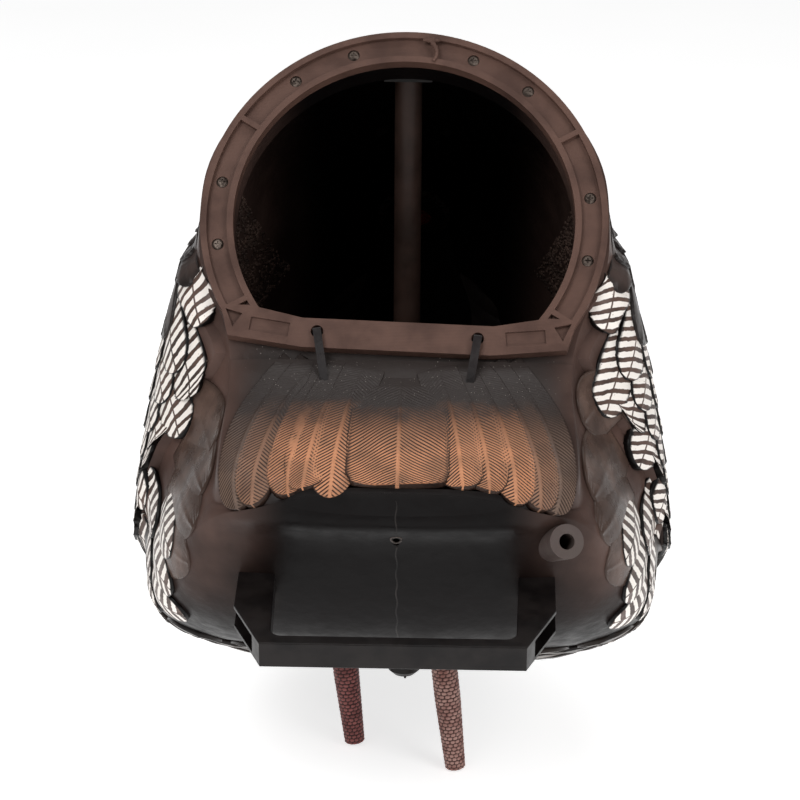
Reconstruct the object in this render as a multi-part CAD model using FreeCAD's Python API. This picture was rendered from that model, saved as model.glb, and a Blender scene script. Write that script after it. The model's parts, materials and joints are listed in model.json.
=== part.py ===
import FreeCAD, Part
import math
import os

# Strutting tom turkey decoy, without its tail fan and ground stake.  Millimetres, +Z up.
# The origin is the mouth of the stake socket under the belly.  The bird faces +Y.

Vec = FreeCAD.Vector
X_AXIS = Vec(1, 0, 0)
Z_AXIS = Vec(0, 0, 1)

# ---- driving dimensions -------------------------------------------------------------
WALL = 3.5                 # moulded body wall
WING_RAISE = 6.5           # how far the folded wings stand proud of the flanks

FRAME_Y = -82.6            # centre of the tail frame, on its seat
FRAME_Z = 314.0
FRAME_LEAN = 36.5          # degrees from vertical, top forward
FRAME_TURN = -1.9          # degrees the frame is turned in its seat
FRAME_OUTER_R = 114.5
FRAME_INNER_R = 96.0
FRAME_THICK = 8.0
FRAME_RIM = 3.6            # width of the raised inner and outer rims
FRAME_RECESS = 3.2         # depth of the channel between the rims
BAR_HALF = 53.0            # half length of the straight middle of the lower bar
BAR_TOP = -61.5            # its upper edge, below the frame centre
BAR_BOTTOM = -78.5
BAR_END_RISE = 5.0         # rise of the bar's two end segments
FRAME_CORNER_X = 94.0
SCREW_CIRCLE_R = 105.4
SCREW_ANGLES = (-100.5, -80.0, -39.0, -19.0, 19.0, 39.0, 80.0, 100.5)
RIB_ANGLES = (-121.0, -59.0, 59.0, 121.0)
SCREW_R = 1.5
SCREW_HEAD_R = 3.1
SCREW_LENGTH = 11.0
SEAT_FLANGE = 4.0          # flange of the body that the frame is screwed to
SLEEVE_DEPTH = 16.0        # short wall that runs into the body from the opening
SLEEVE_WALL = 3.0

TIE_WIDTH = 4.6
TIE_THICK = 1.4
TIE_HOLE_R = 3.5
BAR_HOLE_X = 44.5          # where the two ties pass through the bar
BAR_HOLE_V = -69.0
SHELF_HOLE_Y = -148.0
SHELF_HOLE_Z = 238.8
SHELF_SLOPE = 27.2         # degrees, falling to the rear
SHELF_HOLE_X = {"left": -41.5, "right": 38.0}

POST_R = 8.0
POST_BORE_R = 6.0
POST_FOOT_Z = 22.1
POST_TOP_Z = 379.0
POST_STOP_Z = 359.0         # the stake's point stops here
POST_PLUG_DEPTH = 12.0
STAKE_BORE_R = 5.0          # takes a 9.5 mm ground stake
STAKE_BORE_LENGTH = 22.0
SOCKET_TOP_Z = 46.0
BOSS_R = 10.5
BOSS_FLANGE_R = 24.0
BOSS_FLANGE_Z = 25.5
BOSS_FLANGE_THICK = 3.5
BOSS_SCREW_CIRCLE_R = 18.5
BOSS_SCREW_LENGTH = 12.0
SADDLE_WIDTH = 28.0
SADDLE_DEPTH = 32.0
HOLE_PLAY = 0.05            # radial clearance of a screw or bolt in its hole

HANDLE_INNER_HALF = 67.5
HANDLE_ROOT_HALF = 86.0
HANDLE_BAR_HALF = 70.0
HANDLE_HEIGHT = 15.0
HANDLE_REACH = 67.0
HANDLE_BAR_DEPTH = 8.0
HANDLE_SKIN = 2.2
HANDLE_PITCH = 9.8         # degrees below level
HANDLE_ROOT = Vec(0, -198.0, 140.3)
HANDLE_SETBACK = 50.0       # how far its blank runs into the body before trimming
HANDLE_PAD_DEPTH = 12.0     # solid foot of each arm, against the body
HANDLE_BOLT_R = 2.0
HANDLE_BOLT_HEAD_R = 3.0
HANDLE_BOLT_X = 77.0
HANDLE_BOLT_RISE = 3.2
PLATE_DEPTH = 14.0

GUIDE_FACE = Vec(91.0, -220.0, 178.0)
GUIDE_AXIS = Vec(0.27, -0.87, 0.41).normalize()
GUIDE_R = 9.4
GUIDE_BORE_R = 4.3
GUIDE_LENGTH = 40.0
GUIDE_SPIGOT_R = 6.4
GUIDE_NUT_R = 11.0

LEG_TOP_R = 8.2
LEG_BOTTOM_R = 6.4
LEG_LEAN = 6.4             # degrees, feet towards +X
LEG_LENGTH = 76.0
LEG_TAPER = 46.0
LEG_PAD = 86.0              # from the foot to the washer's seat inside the belly
LEG_BOLT_R = 2.5
LEG_BOLT_LENGTH = 56.0
LEG_WASHER_R = 8.0
LEG_WASHER_THICK = 1.6
LEG_NUT_R = 5.2
LEG_NUT_HEIGHT = 4.6
LEG_FEET = {"left": Vec(-31.0, 0.0, -48.5), "right": Vec(33.0, -31.0, -50.0)}

NECK_BASE = Vec(0, 196.0, 255.0)
NECK_TILT = 55.0           # degrees forward of vertical
NECK_AXIS = Vec(0, math.sin(math.radians(NECK_TILT)), math.cos(math.radians(NECK_TILT)))
NECK_BOSS_R = 27.0
NECK_HOLE_R = 20.0
COLLAR_R = 19.92
COLLAR_FLANGE_R = 25.0
PEG_R = 12.0
PEG_CLEARANCE = 0.06
PEG_LENGTH = 24.0
NECK_SEAT = 6.0
COLLAR_GAP = 0.35
COLLAR_THICK = 4.0
SNAP_SEAT = -12.0
SNAP_GROOVE_R = 18.0
SNAP_RING_R = 24.0
SNAP_THICK = 2.0

HEAD_CENTRE = Vec(0, 250.0, 293.0)
HEAD_PITCH = 16.0           # degrees that the bill points down
SKULL_HALF_LENGTH = 25.0
SKULL_HALF_WIDTH = 14.8
EYE_R = 3.6
EYE_OUT = 13.0
SNOOD_PEG_R = 1.5

BEARD_PIN = Vec(0, 234.0, 196.0)
BEARD_LENGTH = 96.0
BEARD_PIN_R = 1.5
BEARD_STUD_R = 2.5
BEARD_FLATTEN = 0.72
CLIP_HALF = 6.0             # half the gap between the clip's ears
CLIP_EAR = 2.4

# Body stations along Y: bottom, widest height, half width, cap radius, cap height, top,
# and the roundness of the lower and upper halves.
STATIONS = (
    (-218.0, 190.0, 198.0, 60.0, 57.0, 200.0, 206.0, 2.2, 3.0),
    (-209.0, 172.0, 186.0, 92.0, 86.0, 192.0, 210.0, 2.4, 2.6),
    (-198.0, 143.0, 172.0, 107.0, 97.0, 192.0, 215.0, 2.6, 2.8),
    (-182.0, 108.0, 152.0, 120.0, 99.0, 202.0, 223.0, 3.0, 3.0),
    (-160.0, 89.0, 136.0, 131.0, 97.0, 220.0, 234.5, 3.2, 3.6),
    (-140.0, 78.0, 126.0, 138.0, 95.5, 234.0, 245.0, 3.4, 4.0),
    (-128.0, 72.5, 121.0, 141.0, 97.0, 247.0, 258.0, 3.4, 4.0),
    (-112.0, 65.0, 115.0, 144.0, 104.0, 276.0, 320.0, 3.4, 2.4),
    (-82.6, 50.0, 108.0, 146.5, 115.5, 314.0, 429.0, 3.4, 2.0),
    (-40.0, 27.0, 104.0, 147.5, 115.5, 300.0, 415.0, 3.2, 2.0),
    (0.0, 12.5, 103.0, 147.0, 113.0, 287.0, 398.0, 3.0, 2.0),
    (50.0, 7.0, 108.0, 142.0, 105.0, 278.0, 376.0, 2.8, 2.0),
    (100.0, 16.0, 120.0, 128.0, 92.0, 265.0, 351.0, 2.6, 2.0),
    (145.0, 40.0, 136.0, 104.0, 72.0, 248.0, 318.0, 2.4, 2.0),
    (180.0, 76.0, 152.0, 76.0, 50.0, 228.0, 286.0, 2.2, 2.0),
    (205.0, 118.0, 168.0, 46.0, 31.0, 210.0, 250.0, 2.0, 2.0),
    (217.0, 160.0, 181.0, 18.0, 13.0, 198.0, 215.0, 2.0, 2.0),
)
CAP_STEPS = 7
FLANK_STEPS = 5
LOWER_STEPS = 8
FLANK_EASE = 1.3


# ---- helpers --------------------------------------------------------------------------
def save(shape, node):
    shape.exportStep("parts/" + node + ".step")


def superellipse(angle, power):
    """Sine and cosine shares of one quarter of a superellipse."""
    across = max(math.sin(angle), 0.0) ** (2.0 / power)
    along = max(math.cos(angle), 0.0) ** (2.0 / power)
    return across, along


def half_section(station, shrink):
    """Points (x, z) of one side, from top centre to bottom centre."""
    bottom, wide_z, half, cap_r, cap_z, top, power_low, power_top = station[1:]
    bottom += shrink
    top -= shrink
    half -= shrink
    cap_r -= shrink
    points = []
    for i in range(CAP_STEPS):
        across, along = superellipse(0.5 * math.pi * i / CAP_STEPS, power_top)
        points.append((cap_r * across, cap_z + (top - cap_z) * along))
    for i in range(FLANK_STEPS):
        s = i / FLANK_STEPS
        swell = math.sin(0.5 * math.pi * s) ** FLANK_EASE
        points.append((cap_r + (half - cap_r) * swell, cap_z + (wide_z - cap_z) * s))
    for i in range(LOWER_STEPS + 1):
        across, along = superellipse(0.5 * math.pi * (1.0 - i / LOWER_STEPS), power_low)
        points.append((half * across, wide_z - (wide_z - bottom) * along))
    return points


def body_form(shrink=0.0):
    """Closed body form through the stations: two halves that meet on the seam, and two ends.

    A positive shrink draws it in by that much and drops the end stations.
    """
    stations = STATIONS[1:-1] if shrink > 0 else STATIONS
    grid = []
    for station in stations:
        grid.append([Vec(x, station[0], z) for x, z in half_section(station, shrink)])
    surface = Part.BSplineSurface()
    surface.interpolate(grid)
    right = surface.toShape()
    halves = [right, right.mirror(Vec(0, 0, 0), X_AXIS)]
    ends = []
    for y in (stations[0][0], stations[-1][0]):
        rim = []
        for edge in halves[0].Edges + halves[1].Edges:
            if abs(edge.BoundBox.YMin - y) < 1e-3 and abs(edge.BoundBox.YMax - y) < 1e-3:
                rim.append(edge)
        ends.append(Part.Face(Part.Wire(rim)))
    shell = Part.makeShell(halves + ends)
    shell.sewShape()
    solid = Part.makeSolid(shell)
    if solid.Volume < 0:
        solid.reverse()
    return solid


def seat_placement(turn=0.0):
    """Frame-local axes: x across, y up along the seat, z out of the opening."""
    lean = FreeCAD.Rotation(X_AXIS, 90.0 - FRAME_LEAN)
    spin = FreeCAD.Rotation(Z_AXIS, turn)
    return FreeCAD.Placement(Vec(0, FRAME_Y, FRAME_Z), lean.multiply(spin))


def placed(shape, placement):
    shape = shape.copy()
    shape.Placement = placement.multiply(shape.Placement)
    return shape


def fuse_all(shapes):
    result = shapes[0]
    if len(shapes) > 1:
        result = shapes[0].multiFuse(shapes[1:])
    return result.removeSplitter()


def polar(radius, angle_deg):
    """Point at an angle measured from the frame's top, clockwise from outside."""
    a = math.radians(angle_deg)
    return Vec(radius * math.sin(a), radius * math.cos(a), 0)


def d_face(radius, corner_x, bar_v, end_angle):
    """D outline: a long arc closed by a bar whose two ends rise a little."""
    start = polar(radius, -end_angle)
    end = polar(radius, end_angle)
    arc = Part.Arc(start, Vec(0, radius, 0), end).toShape()
    right = [
        end,
        Vec(corner_x, bar_v + BAR_END_RISE, 0),
        Vec(BAR_HALF, bar_v, 0),
    ]
    left = [Vec(-p.x, p.y, 0) for p in reversed(right)]
    edges = [arc]
    path = right + left
    for a, b in zip(path, path[1:]):
        if a.distanceToPoint(b) > 1e-6:
            edges.append(Part.makeLine(a, b))
    return Part.Face(Part.Wire(Part.__sortEdges__(edges)))


def d_prism(radius, corner_x, bar_v, end_angle, low, high):
    face = d_face(radius, corner_x, bar_v, end_angle)
    face.translate(Vec(0, 0, low))
    return face.extrude(Vec(0, 0, high - low))


def inner_d(grow, low, high):
    """The opening's D, grown outward by a given amount."""
    radius = FRAME_INNER_R + grow
    bar_v = BAR_TOP - grow
    end_v = bar_v + BAR_END_RISE
    corner_x = math.sqrt(radius ** 2 - end_v ** 2)
    end_angle = math.degrees(math.atan2(corner_x, end_v))
    return d_prism(radius, corner_x, bar_v, end_angle, low, high)


def outer_d(shrink, low, high):
    """The frame's outer D, drawn in by a given amount."""
    return d_prism(
        FRAME_OUTER_R - shrink, FRAME_CORNER_X - shrink, BAR_BOTTOM + shrink, 121.0, low, high
    )


def cylinder_along(radius, start, direction, length):
    return Part.makeCylinder(radius, length, start, direction)


def revolve_profile(points, base, axis):
    """Solid of revolution; points are (radius, height along the axis) from base."""
    wire = Part.makePolygon([Vec(r, 0, h) for r, h in points] + [Vec(points[0][0], 0, points[0][1])])
    solid = Part.Face(wire).revolve(Vec(0, 0, 0), Z_AXIS, 360)
    turn = FreeCAD.Rotation(Z_AXIS, axis)
    return placed(solid, FreeCAD.Placement(base, turn))


# ---- body shell -----------------------------------------------------------------------
def wing_zone():
    """Side outline of a folded wing, drawn through the whole width of the body."""
    outline = (
        (-126, 250), (-116, 206), (-102, 165), (-88, 124), (-62, 108), (-20, 100),
        (40, 98), (90, 112), (130, 150), (142, 200), (122, 244), (66, 274), (-20, 292), (-90, 286),
    )
    wire = Part.makePolygon([Vec(-200, y, z) for y, z in outline + outline[:1]])
    return Part.Face(wire).extrude(Vec(400, 0, 0))


def seat_cutter():
    """Everything outside the frame's seat, down to the lower edge of the bar."""
    block = Part.makeBox(400, 330, 260, Vec(-200, BAR_BOTTOM - 4.0, 0))
    return placed(block, seat_placement())


def make_forms():
    """Outer body form with wings, and the cavity form."""
    outer = body_form()
    wings = body_form(-WING_RAISE).common(wing_zone())
    for side_x in (75.0, -245.0):
        flank = Part.makeBox(170, 600, 500, Vec(side_x, -300, 0))
        outer = outer.fuse(wings.common(flank))
    outer = outer.cut(seat_cutter())
    under_seat = placed(
        Part.makeBox(400, 330, 300, Vec(-200, BAR_BOTTOM - 8.0, -SEAT_FLANGE)), seat_placement()
    )
    cavity = body_form(WALL).cut(under_seat)
    return outer, cavity


def screw_points(circle_r):
    return [polar(circle_r, angle) for angle in SCREW_ANGLES]


def leg_axis():
    lean = math.radians(LEG_LEAN)
    return Vec(-math.sin(lean), 0, math.cos(lean))


def neck_point(along):
    return NECK_BASE + NECK_AXIS * along


def make_body_shell(outer, cavity):
    seat = seat_placement(FRAME_TURN)
    shell = outer.cut(cavity)
    sleeve = inner_d(SLEEVE_WALL, -SLEEVE_DEPTH, -0.5).cut(inner_d(0.0, -SLEEVE_DEPTH - 1, 1))
    neck_boss = cylinder_along(NECK_BOSS_R, neck_point(-12.0), NECK_AXIS, 18.0)
    leg_pads = []
    for foot in LEG_FEET.values():
        pad = cylinder_along(LEG_TOP_R + 3.0, foot + leg_axis() * 52.0, leg_axis(), 34.0)
        leg_pads.append(pad.common(outer))
    shell = fuse_all([shell, placed(sleeve, seat), neck_boss] + leg_pads)
    shell = shell.cut(placed(inner_d(0.0, -SLEEVE_DEPTH - 1, 20), seat))
    cutters = [cylinder_along(NECK_HOLE_R, neck_point(-30.0), NECK_AXIS, 60.0)]
    for point in screw_points(SCREW_CIRCLE_R):
        hole = cylinder_along(SCREW_R + HOLE_PLAY, point + Vec(0, 0, 2), Vec(0, 0, -1), 14.0)
        cutters.append(placed(hole, seat))
    for side in (-1, 1):
        start = Vec(side * BAR_HOLE_X, BAR_HOLE_V, 4)
        cutters.append(placed(cylinder_along(TIE_HOLE_R, start, Vec(0, 0, -1), 16.0), seat))
    for x in SHELF_HOLE_X.values():
        start = Vec(x, SHELF_HOLE_Y, SHELF_HOLE_Z) + shelf_normal() * 8
        cutters.append(cylinder_along(TIE_HOLE_R, start, shelf_normal() * -1, 20.0))
    cutters.append(Part.makeCylinder(BOSS_R + 0.1, 60.0, Vec(0, 0, -20)))
    for point in boss_screw_points():
        cutters.append(Part.makeCylinder(SCREW_R + HOLE_PLAY, 40.0, point + Vec(0, 0, -15)))
    for foot in LEG_FEET.values():
        cutters.append(cylinder_along(LEG_TOP_R + 0.1, foot, leg_axis(), LEG_LENGTH + 0.1))
        cutters.append(cylinder_along(LEG_BOLT_R + 0.1, foot, leg_axis(), LEG_LENGTH + 40.0))
    cutters.append(cylinder_along(GUIDE_R - 2.9, guide_point(8.0), GUIDE_AXIS * -1, 60.0))
    for point in handle_bolt_points():
        cutters.append(cylinder_along(HANDLE_BOLT_R + HOLE_PLAY, point, handle_out() * -1, 40.0))
    cutters.append(cylinder_along(2.2, Vec(0, -240, 181), Vec(0, 0.95, -0.28).normalize(), 60.0))
    cutters.append(cylinder_along(BEARD_STUD_R + HOLE_PLAY, BEARD_PIN + Vec(0, 5, 0), Vec(0, -1, 0), 60.0))
    return shell.cut(fuse_all(cutters))


# ---- tail frame -----------------------------------------------------------------------
def channel_ring(low, high):
    """Recess between the rims, with the ribs left standing."""
    ring = outer_d(FRAME_RIM, low, high).cut(inner_d(FRAME_RIM, low - 1, high + 1))
    ring = ring.cut(Part.makeBox(240, 60, high - low + 2, Vec(-120, BAR_TOP - 54, low - 1)))
    for angle in RIB_ANGLES:
        rib = Part.makeBox(3.0, 40, high - low + 2, Vec(-1.5, FRAME_INNER_R - 10, low - 1))
        rib.rotate(Vec(0, 0, 0), Z_AXIS, -angle)
        ring = ring.cut(rib)
    return ring


def corner_pocket(side):
    """Three-cornered recess between the lowest rib and the end of the bar."""
    corners = [Vec(side * 86.5, -60.5, 0), Vec(side * 96.0, -58.0, 0), Vec(side * 91.5, -68.5, 0)]
    pocket = Part.Face(Part.makePolygon(corners + corners[:1])).extrude(Vec(0, 0, 10))
    pocket.translate(Vec(0, 0, FRAME_THICK - FRAME_RECESS))
    return pocket


def bar_panel(x_left, x_right, deep):
    """Shallow recessed panel on one end segment of the bar."""
    mid_v = 0.5 * (BAR_TOP + BAR_BOTTOM) + 0.5 * BAR_END_RISE
    panel = Part.makeBox(x_right - x_left, 8.0, 4.0, Vec(x_left, mid_v - 4.0, FRAME_THICK - deep))
    slope = math.degrees(math.atan2(BAR_END_RISE, FRAME_CORNER_X - BAR_HALF))
    centre = Vec(0.5 * (x_left + x_right), mid_v, 0)
    panel.rotate(centre, Z_AXIS, math.copysign(slope, x_left))
    return panel


def make_tail_frame():
    frame = outer_d(0.0, 0.0, FRAME_THICK).cut(inner_d(0.0, -1.0, FRAME_THICK + 1))
    frame = frame.cut(channel_ring(FRAME_THICK - FRAME_RECESS, FRAME_THICK + 1))
    frame = frame.cut(bar_panel(-82.0, -60.0, 1.2))
    frame = frame.cut(bar_panel(60.0, 82.0, 1.2))
    frame = frame.cut(corner_pocket(-1)).cut(corner_pocket(1))
    floor = FRAME_THICK - FRAME_RECESS
    for point in screw_points(SCREW_CIRCLE_R):
        hole = Part.makeCylinder(SCREW_R + 0.2, 20, point + Vec(0, 0, -2))
        sink = Part.makeCylinder(SCREW_HEAD_R + 0.3, 6, point + Vec(0, 0, floor - 1.6))
        frame = frame.cut(hole.fuse(sink))
    for side in (-1, 1):
        hole = Part.makeCylinder(TIE_HOLE_R, 20, Vec(side * BAR_HOLE_X, BAR_HOLE_V, -2))
        frame = frame.cut(hole)
    return placed(frame, seat_placement(FRAME_TURN))


def pan_screw(head_r, shank_r, length):
    """Pan-head screw with a cross recess; underside of the head at z = 0, shank down."""
    head = Part.makeCylinder(head_r, 1.3).fuse(Part.makeCone(head_r, head_r - 0.9, 0.7, Vec(0, 0, 1.3)))
    shank = Part.makeCylinder(shank_r, length, Vec(0, 0, -length))
    screw = head.fuse(shank)
    for turn in (0, 90):
        slot = Part.makeBox(head_r * 1.1, 0.8, 1.0, Vec(-head_r * 0.55, -0.4, 1.2))
        slot.rotate(Vec(0, 0, 0), Z_AXIS, turn)
        screw = screw.cut(slot)
    return screw.removeSplitter()


def make_frame_screws():
    seat_z = FRAME_THICK - FRAME_RECESS - 1.6
    screws = []
    for point in screw_points(SCREW_CIRCLE_R):
        screw = pan_screw(SCREW_HEAD_R, SCREW_R, SCREW_LENGTH)
        screw.translate(point + Vec(0, 0, seat_z))
        screws.append(placed(screw, seat_placement(FRAME_TURN)))
    return Part.makeCompound(screws)


# ---- cable ties -----------------------------------------------------------------------
def shelf_normal():
    slope = math.radians(SHELF_SLOPE)
    return Vec(0, -math.sin(slope), math.cos(slope))


def thick_loop(corners, across, radius):
    """Closed strap: a rounded prism round the corners, less the prism inside it."""
    plane_normal = (corners[1] - corners[0]).cross(corners[2] - corners[1]).normalize()
    face = Part.Face(Part.makePolygon(corners + corners[:1]))
    grown = face.makeOffset2D(TIE_THICK)
    solids = []
    for shape, corner_r in ((grown, radius + TIE_THICK), (face, radius)):
        prism = shape.extrude(plane_normal * across)
        prism.translate(plane_normal * (-0.5 * across))
        edges = []
        for edge in prism.Edges:
            if len(edge.Vertexes) < 2:
                continue
            run = edge.Vertexes[1].Point - edge.Vertexes[0].Point
            if edge.Curve.TypeId == "Part::GeomLine" and abs(run.normalize().dot(plane_normal)) > 0.99:
                edges.append(edge)
        solids.append((prism, edges, corner_r))
    outer = solids[0][0]
    if len(solids[0][1]) == len(corners):
        outer = outer.makeFillet(solids[0][2], solids[0][1])
    inner = solids[1][0].makeFillet(solids[1][2], solids[1][1])
    return outer.cut(inner)


def make_cable_tie(side):
    sign = -1 if side == "left" else 1
    seat = seat_placement(FRAME_TURN)
    front = seat.multVec(Vec(sign * BAR_HOLE_X, BAR_HOLE_V, FRAME_THICK + 2.2))
    back = seat.multVec(Vec(sign * BAR_HOLE_X, BAR_HOLE_V, -9.5))
    hole = Vec(SHELF_HOLE_X[side], SHELF_HOLE_Y, SHELF_HOLE_Z)
    outside = hole + shelf_normal() * 1.6
    inside = hole + shelf_normal() * -10.5
    # the four corners are drawn onto one plane, so that the strap lies flat
    run = (outside - front).normalize()
    across = run.cross(back - front).normalize()
    corners = [front, outside]
    for corner in (inside, back):
        corners.append(corner - across * across.dot(corner - front))
    strap = thick_loop(corners, TIE_WIDTH, 2.6)
    middle = (corners[2] + corners[3]) * 0.5
    along = (corners[2] - corners[3]).normalize()
    inward = along.cross(across)
    if inward.dot(middle - (front + outside) * 0.5) < 0:
        inward = inward * -1
    axes = FreeCAD.Matrix(
        across.x, along.x, inward.x, middle.x,
        across.y, along.y, inward.y, middle.y,
        across.z, along.z, inward.z, middle.z,
    )
    head = Part.makeBox(6.6, 6.0, 5.2, Vec(-3.3, -3.0, 0.4))
    head = head.transformGeometry(axes)
    return strap.fuse(head).removeSplitter()


# ---- carry handle ---------------------------------------------------------------------
def handle_out():
    pitch = math.radians(HANDLE_PITCH)
    return Vec(0, -math.cos(pitch), -math.sin(pitch))


def handle_placement():
    """Handle-local axes: x across, y out of the body, z up."""
    turn = FreeCAD.Rotation(Z_AXIS, 180).multiply(FreeCAD.Rotation(X_AXIS, -HANDLE_PITCH))
    return FreeCAD.Placement(HANDLE_ROOT, turn)


def handle_bolt_points():
    points = []
    for x in (-HANDLE_BOLT_X, HANDLE_BOLT_X):
        for z in (-HANDLE_BOLT_RISE, HANDLE_BOLT_RISE):
            points.append(handle_placement().multVec(Vec(x, HANDLE_PAD_DEPTH, z)))
    return points


def handle_plan():
    """Outline of the grip seen from above, running well into the body."""
    reach = HANDLE_REACH
    half = [
        Vec(HANDLE_INNER_HALF, -HANDLE_SETBACK, 0),
        Vec(HANDLE_ROOT_HALF, -HANDLE_SETBACK, 0),
        Vec(HANDLE_ROOT_HALF, reach - 36.0, 0),
        Vec(HANDLE_BAR_HALF, reach, 0),
    ]
    outline = half + [Vec(-p.x, p.y, 0) for p in reversed(half)]
    inner = [
        Vec(-HANDLE_INNER_HALF, -HANDLE_SETBACK, 0),
        Vec(-HANDLE_INNER_HALF + 3.0, reach - HANDLE_BAR_DEPTH, 0),
        Vec(HANDLE_INNER_HALF - 3.0, reach - HANDLE_BAR_DEPTH, 0),
        Vec(HANDLE_INNER_HALF, -HANDLE_SETBACK, 0),
    ]
    return outline, inner


def make_carry_handle(outer):
    outline, inner = handle_plan()
    low = -0.5 * HANDLE_HEIGHT
    blank = Part.Face(Part.makePolygon(outline + outline[:1])).extrude(Vec(0, 0, HANDLE_HEIGHT))
    gap = Part.Face(Part.makePolygon(inner + inner[:1])).extrude(Vec(0, 0, HANDLE_HEIGHT + 4))
    blank.translate(Vec(0, 0, low))
    gap.translate(Vec(0, 0, low - 2))
    corners = []
    for edge in gap.Edges:
        mid = edge.CenterOfMass
        if abs(mid.z) < 0.1 and mid.y > 0:
            corners.append(edge)
    gap = gap.makeFillet(6.0, corners)
    handle = blank.cut(gap)
    edges = []
    for edge in handle.Edges:
        mid = edge.CenterOfMass
        if mid.y > -20 and abs(abs(mid.z) - 0.5 * HANDLE_HEIGHT) < 0.1 and edge.Length > 5:
            edges.append(edge)
    handle = handle.makeFillet(0.8, edges)
    web = HANDLE_INNER_HALF + HANDLE_SKIN
    for side in (-1, 1):
        pocket = Part.makeBox(
            60, HANDLE_REACH - 10.0 - HANDLE_PAD_DEPTH, HANDLE_HEIGHT - 2 * HANDLE_SKIN,
            Vec(web, HANDLE_PAD_DEPTH, low + HANDLE_SKIN),
        )
        if side < 0:
            pocket = pocket.mirror(Vec(0, 0, 0), X_AXIS)
        handle = handle.cut(pocket)
    handle = placed(handle, handle_placement()).cut(outer)
    for point in handle_bolt_points():
        start = point + handle_out() * -4
        handle = handle.cut(cylinder_along(HANDLE_BOLT_R + HOLE_PLAY, start, handle_out() * -1, 60))
    return largest(handle)


def largest(shape):
    solids = sorted(shape.Solids, key=lambda solid: solid.Volume)
    return solids[-1]


def make_backing_plates(cavity):
    """Pads inside the rear wall: one face follows the wall, the other is flat for the bolts."""
    plates = []
    for x in (-HANDLE_BOLT_X, HANDLE_BOLT_X):
        box = Part.makeBox(16.0, 34.0, 13.0, Vec(x - 8.0, -PLATE_DEPTH, -6.5))
        plate = largest(placed(box, handle_placement()).common(cavity))
        for point in handle_bolt_points():
            plate = plate.cut(cylinder_along(HANDLE_BOLT_R + HOLE_PLAY, point, handle_out() * -1, 60))
        plates.append(plate)
    return Part.makeCompound(plates)


def make_handle_bolts():
    bolts = []
    for point in handle_bolt_points():
        inside = point + handle_out() * -(HANDLE_PAD_DEPTH + PLATE_DEPTH)
        bolt = cylinder_along(HANDLE_BOLT_R, inside, handle_out(), PLATE_DEPTH + 7.5)
        head = cylinder_along(HANDLE_BOLT_HEAD_R, inside, handle_out() * -1, 3.0)
        bolts.append(bolt.fuse(head).removeSplitter())
    return Part.makeCompound(bolts)


# ---- stake post and socket ------------------------------------------------------------
def boss_screw_points():
    points = []
    for i in range(4):
        a = math.radians(45 + 90 * i)
        points.append(Vec(BOSS_SCREW_CIRCLE_R * math.cos(a), BOSS_SCREW_CIRCLE_R * math.sin(a), 0))
    return points


def make_stake_socket():
    """Bushing through the belly: a domed nose below, a flange inside, a bore right through."""
    flange_top = BOSS_FLANGE_Z + BOSS_FLANGE_THICK
    nose = [
        (STAKE_BORE_R, 0.0), (STAKE_BORE_R + 1.6, 0.0), (BOSS_R - 0.5, 3.2), (BOSS_R, 6.5),
        (BOSS_R, BOSS_FLANGE_Z), (BOSS_FLANGE_R, BOSS_FLANGE_Z), (BOSS_FLANGE_R, flange_top),
        (POST_R + 5.0, flange_top), (POST_R + 4.0, SOCKET_TOP_Z), (POST_R + HOLE_PLAY, SOCKET_TOP_Z),
        (POST_R + HOLE_PLAY, STAKE_BORE_LENGTH), (STAKE_BORE_R, STAKE_BORE_LENGTH),
    ]
    socket = revolve_profile(nose, Vec(0, 0, 0), Z_AXIS)
    for point in boss_screw_points():
        socket = socket.cut(Part.makeCylinder(SCREW_R + HOLE_PLAY, 30, point + Vec(0, 0, 10)))
    return socket


def make_stake_post():
    """Tube from the socket to the saddle, with a stop for the stake near its top."""
    foot = Vec(0, 0, POST_FOOT_Z)
    tube = Part.makeCylinder(POST_R, POST_TOP_Z - POST_FOOT_Z, foot)
    tube = tube.cut(Part.makeCylinder(POST_BORE_R, POST_STOP_Z - POST_FOOT_Z, foot))
    return tube.cut(Part.makeCylinder(POST_BORE_R, 30, Vec(0, 0, POST_TOP_Z - POST_PLUG_DEPTH)))


def make_socket_screws():
    screws = []
    for point in boss_screw_points():
        screw = pan_screw(SCREW_HEAD_R, SCREW_R, BOSS_SCREW_LENGTH)
        screw.translate(point + Vec(0, 0, BOSS_FLANGE_Z + BOSS_FLANGE_THICK))
        screws.append(screw)
    return Part.makeCompound(screws)


def make_post_cap(cavity):
    """Saddle between the post and the inside of the back."""
    plug_length = POST_PLUG_DEPTH - 2.0
    plug = Part.makeCylinder(POST_BORE_R - HOLE_PLAY, plug_length, Vec(0, 0, POST_TOP_Z - plug_length))
    saddle = Part.makeBox(SADDLE_WIDTH, SADDLE_DEPTH, 30, Vec(-SADDLE_WIDTH / 2, -9, POST_TOP_Z))
    saddle = saddle.common(cavity)
    return plug.fuse(largest(saddle)).removeSplitter()


# ---- legs -----------------------------------------------------------------------------
def make_leg(foot):
    """Tapered leg stub that leans a little and plugs into the belly."""
    leg = Part.makeCone(LEG_BOTTOM_R, LEG_TOP_R, LEG_TAPER).fuse(
        Part.makeCylinder(LEG_TOP_R, LEG_LENGTH - LEG_TAPER, Vec(0, 0, LEG_TAPER))
    )
    ends = [e for e in leg.Edges if e.CenterOfMass.z < 0.01 and len(e.Vertexes) == 1]
    leg = leg.makeFillet(1.5, ends)
    leg = leg.cut(Part.makeCylinder(LEG_BOLT_R + HOLE_PLAY, 40, Vec(0, 0, LEG_LENGTH - 40)))
    turn = FreeCAD.Rotation(Z_AXIS, leg_axis())
    return placed(leg.removeSplitter(), FreeCAD.Placement(foot, turn))


def leg_stack_points():
    """Inside face of each leg pad, where the washer lies."""
    return [foot + leg_axis() * LEG_PAD for foot in LEG_FEET.values()]


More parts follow.
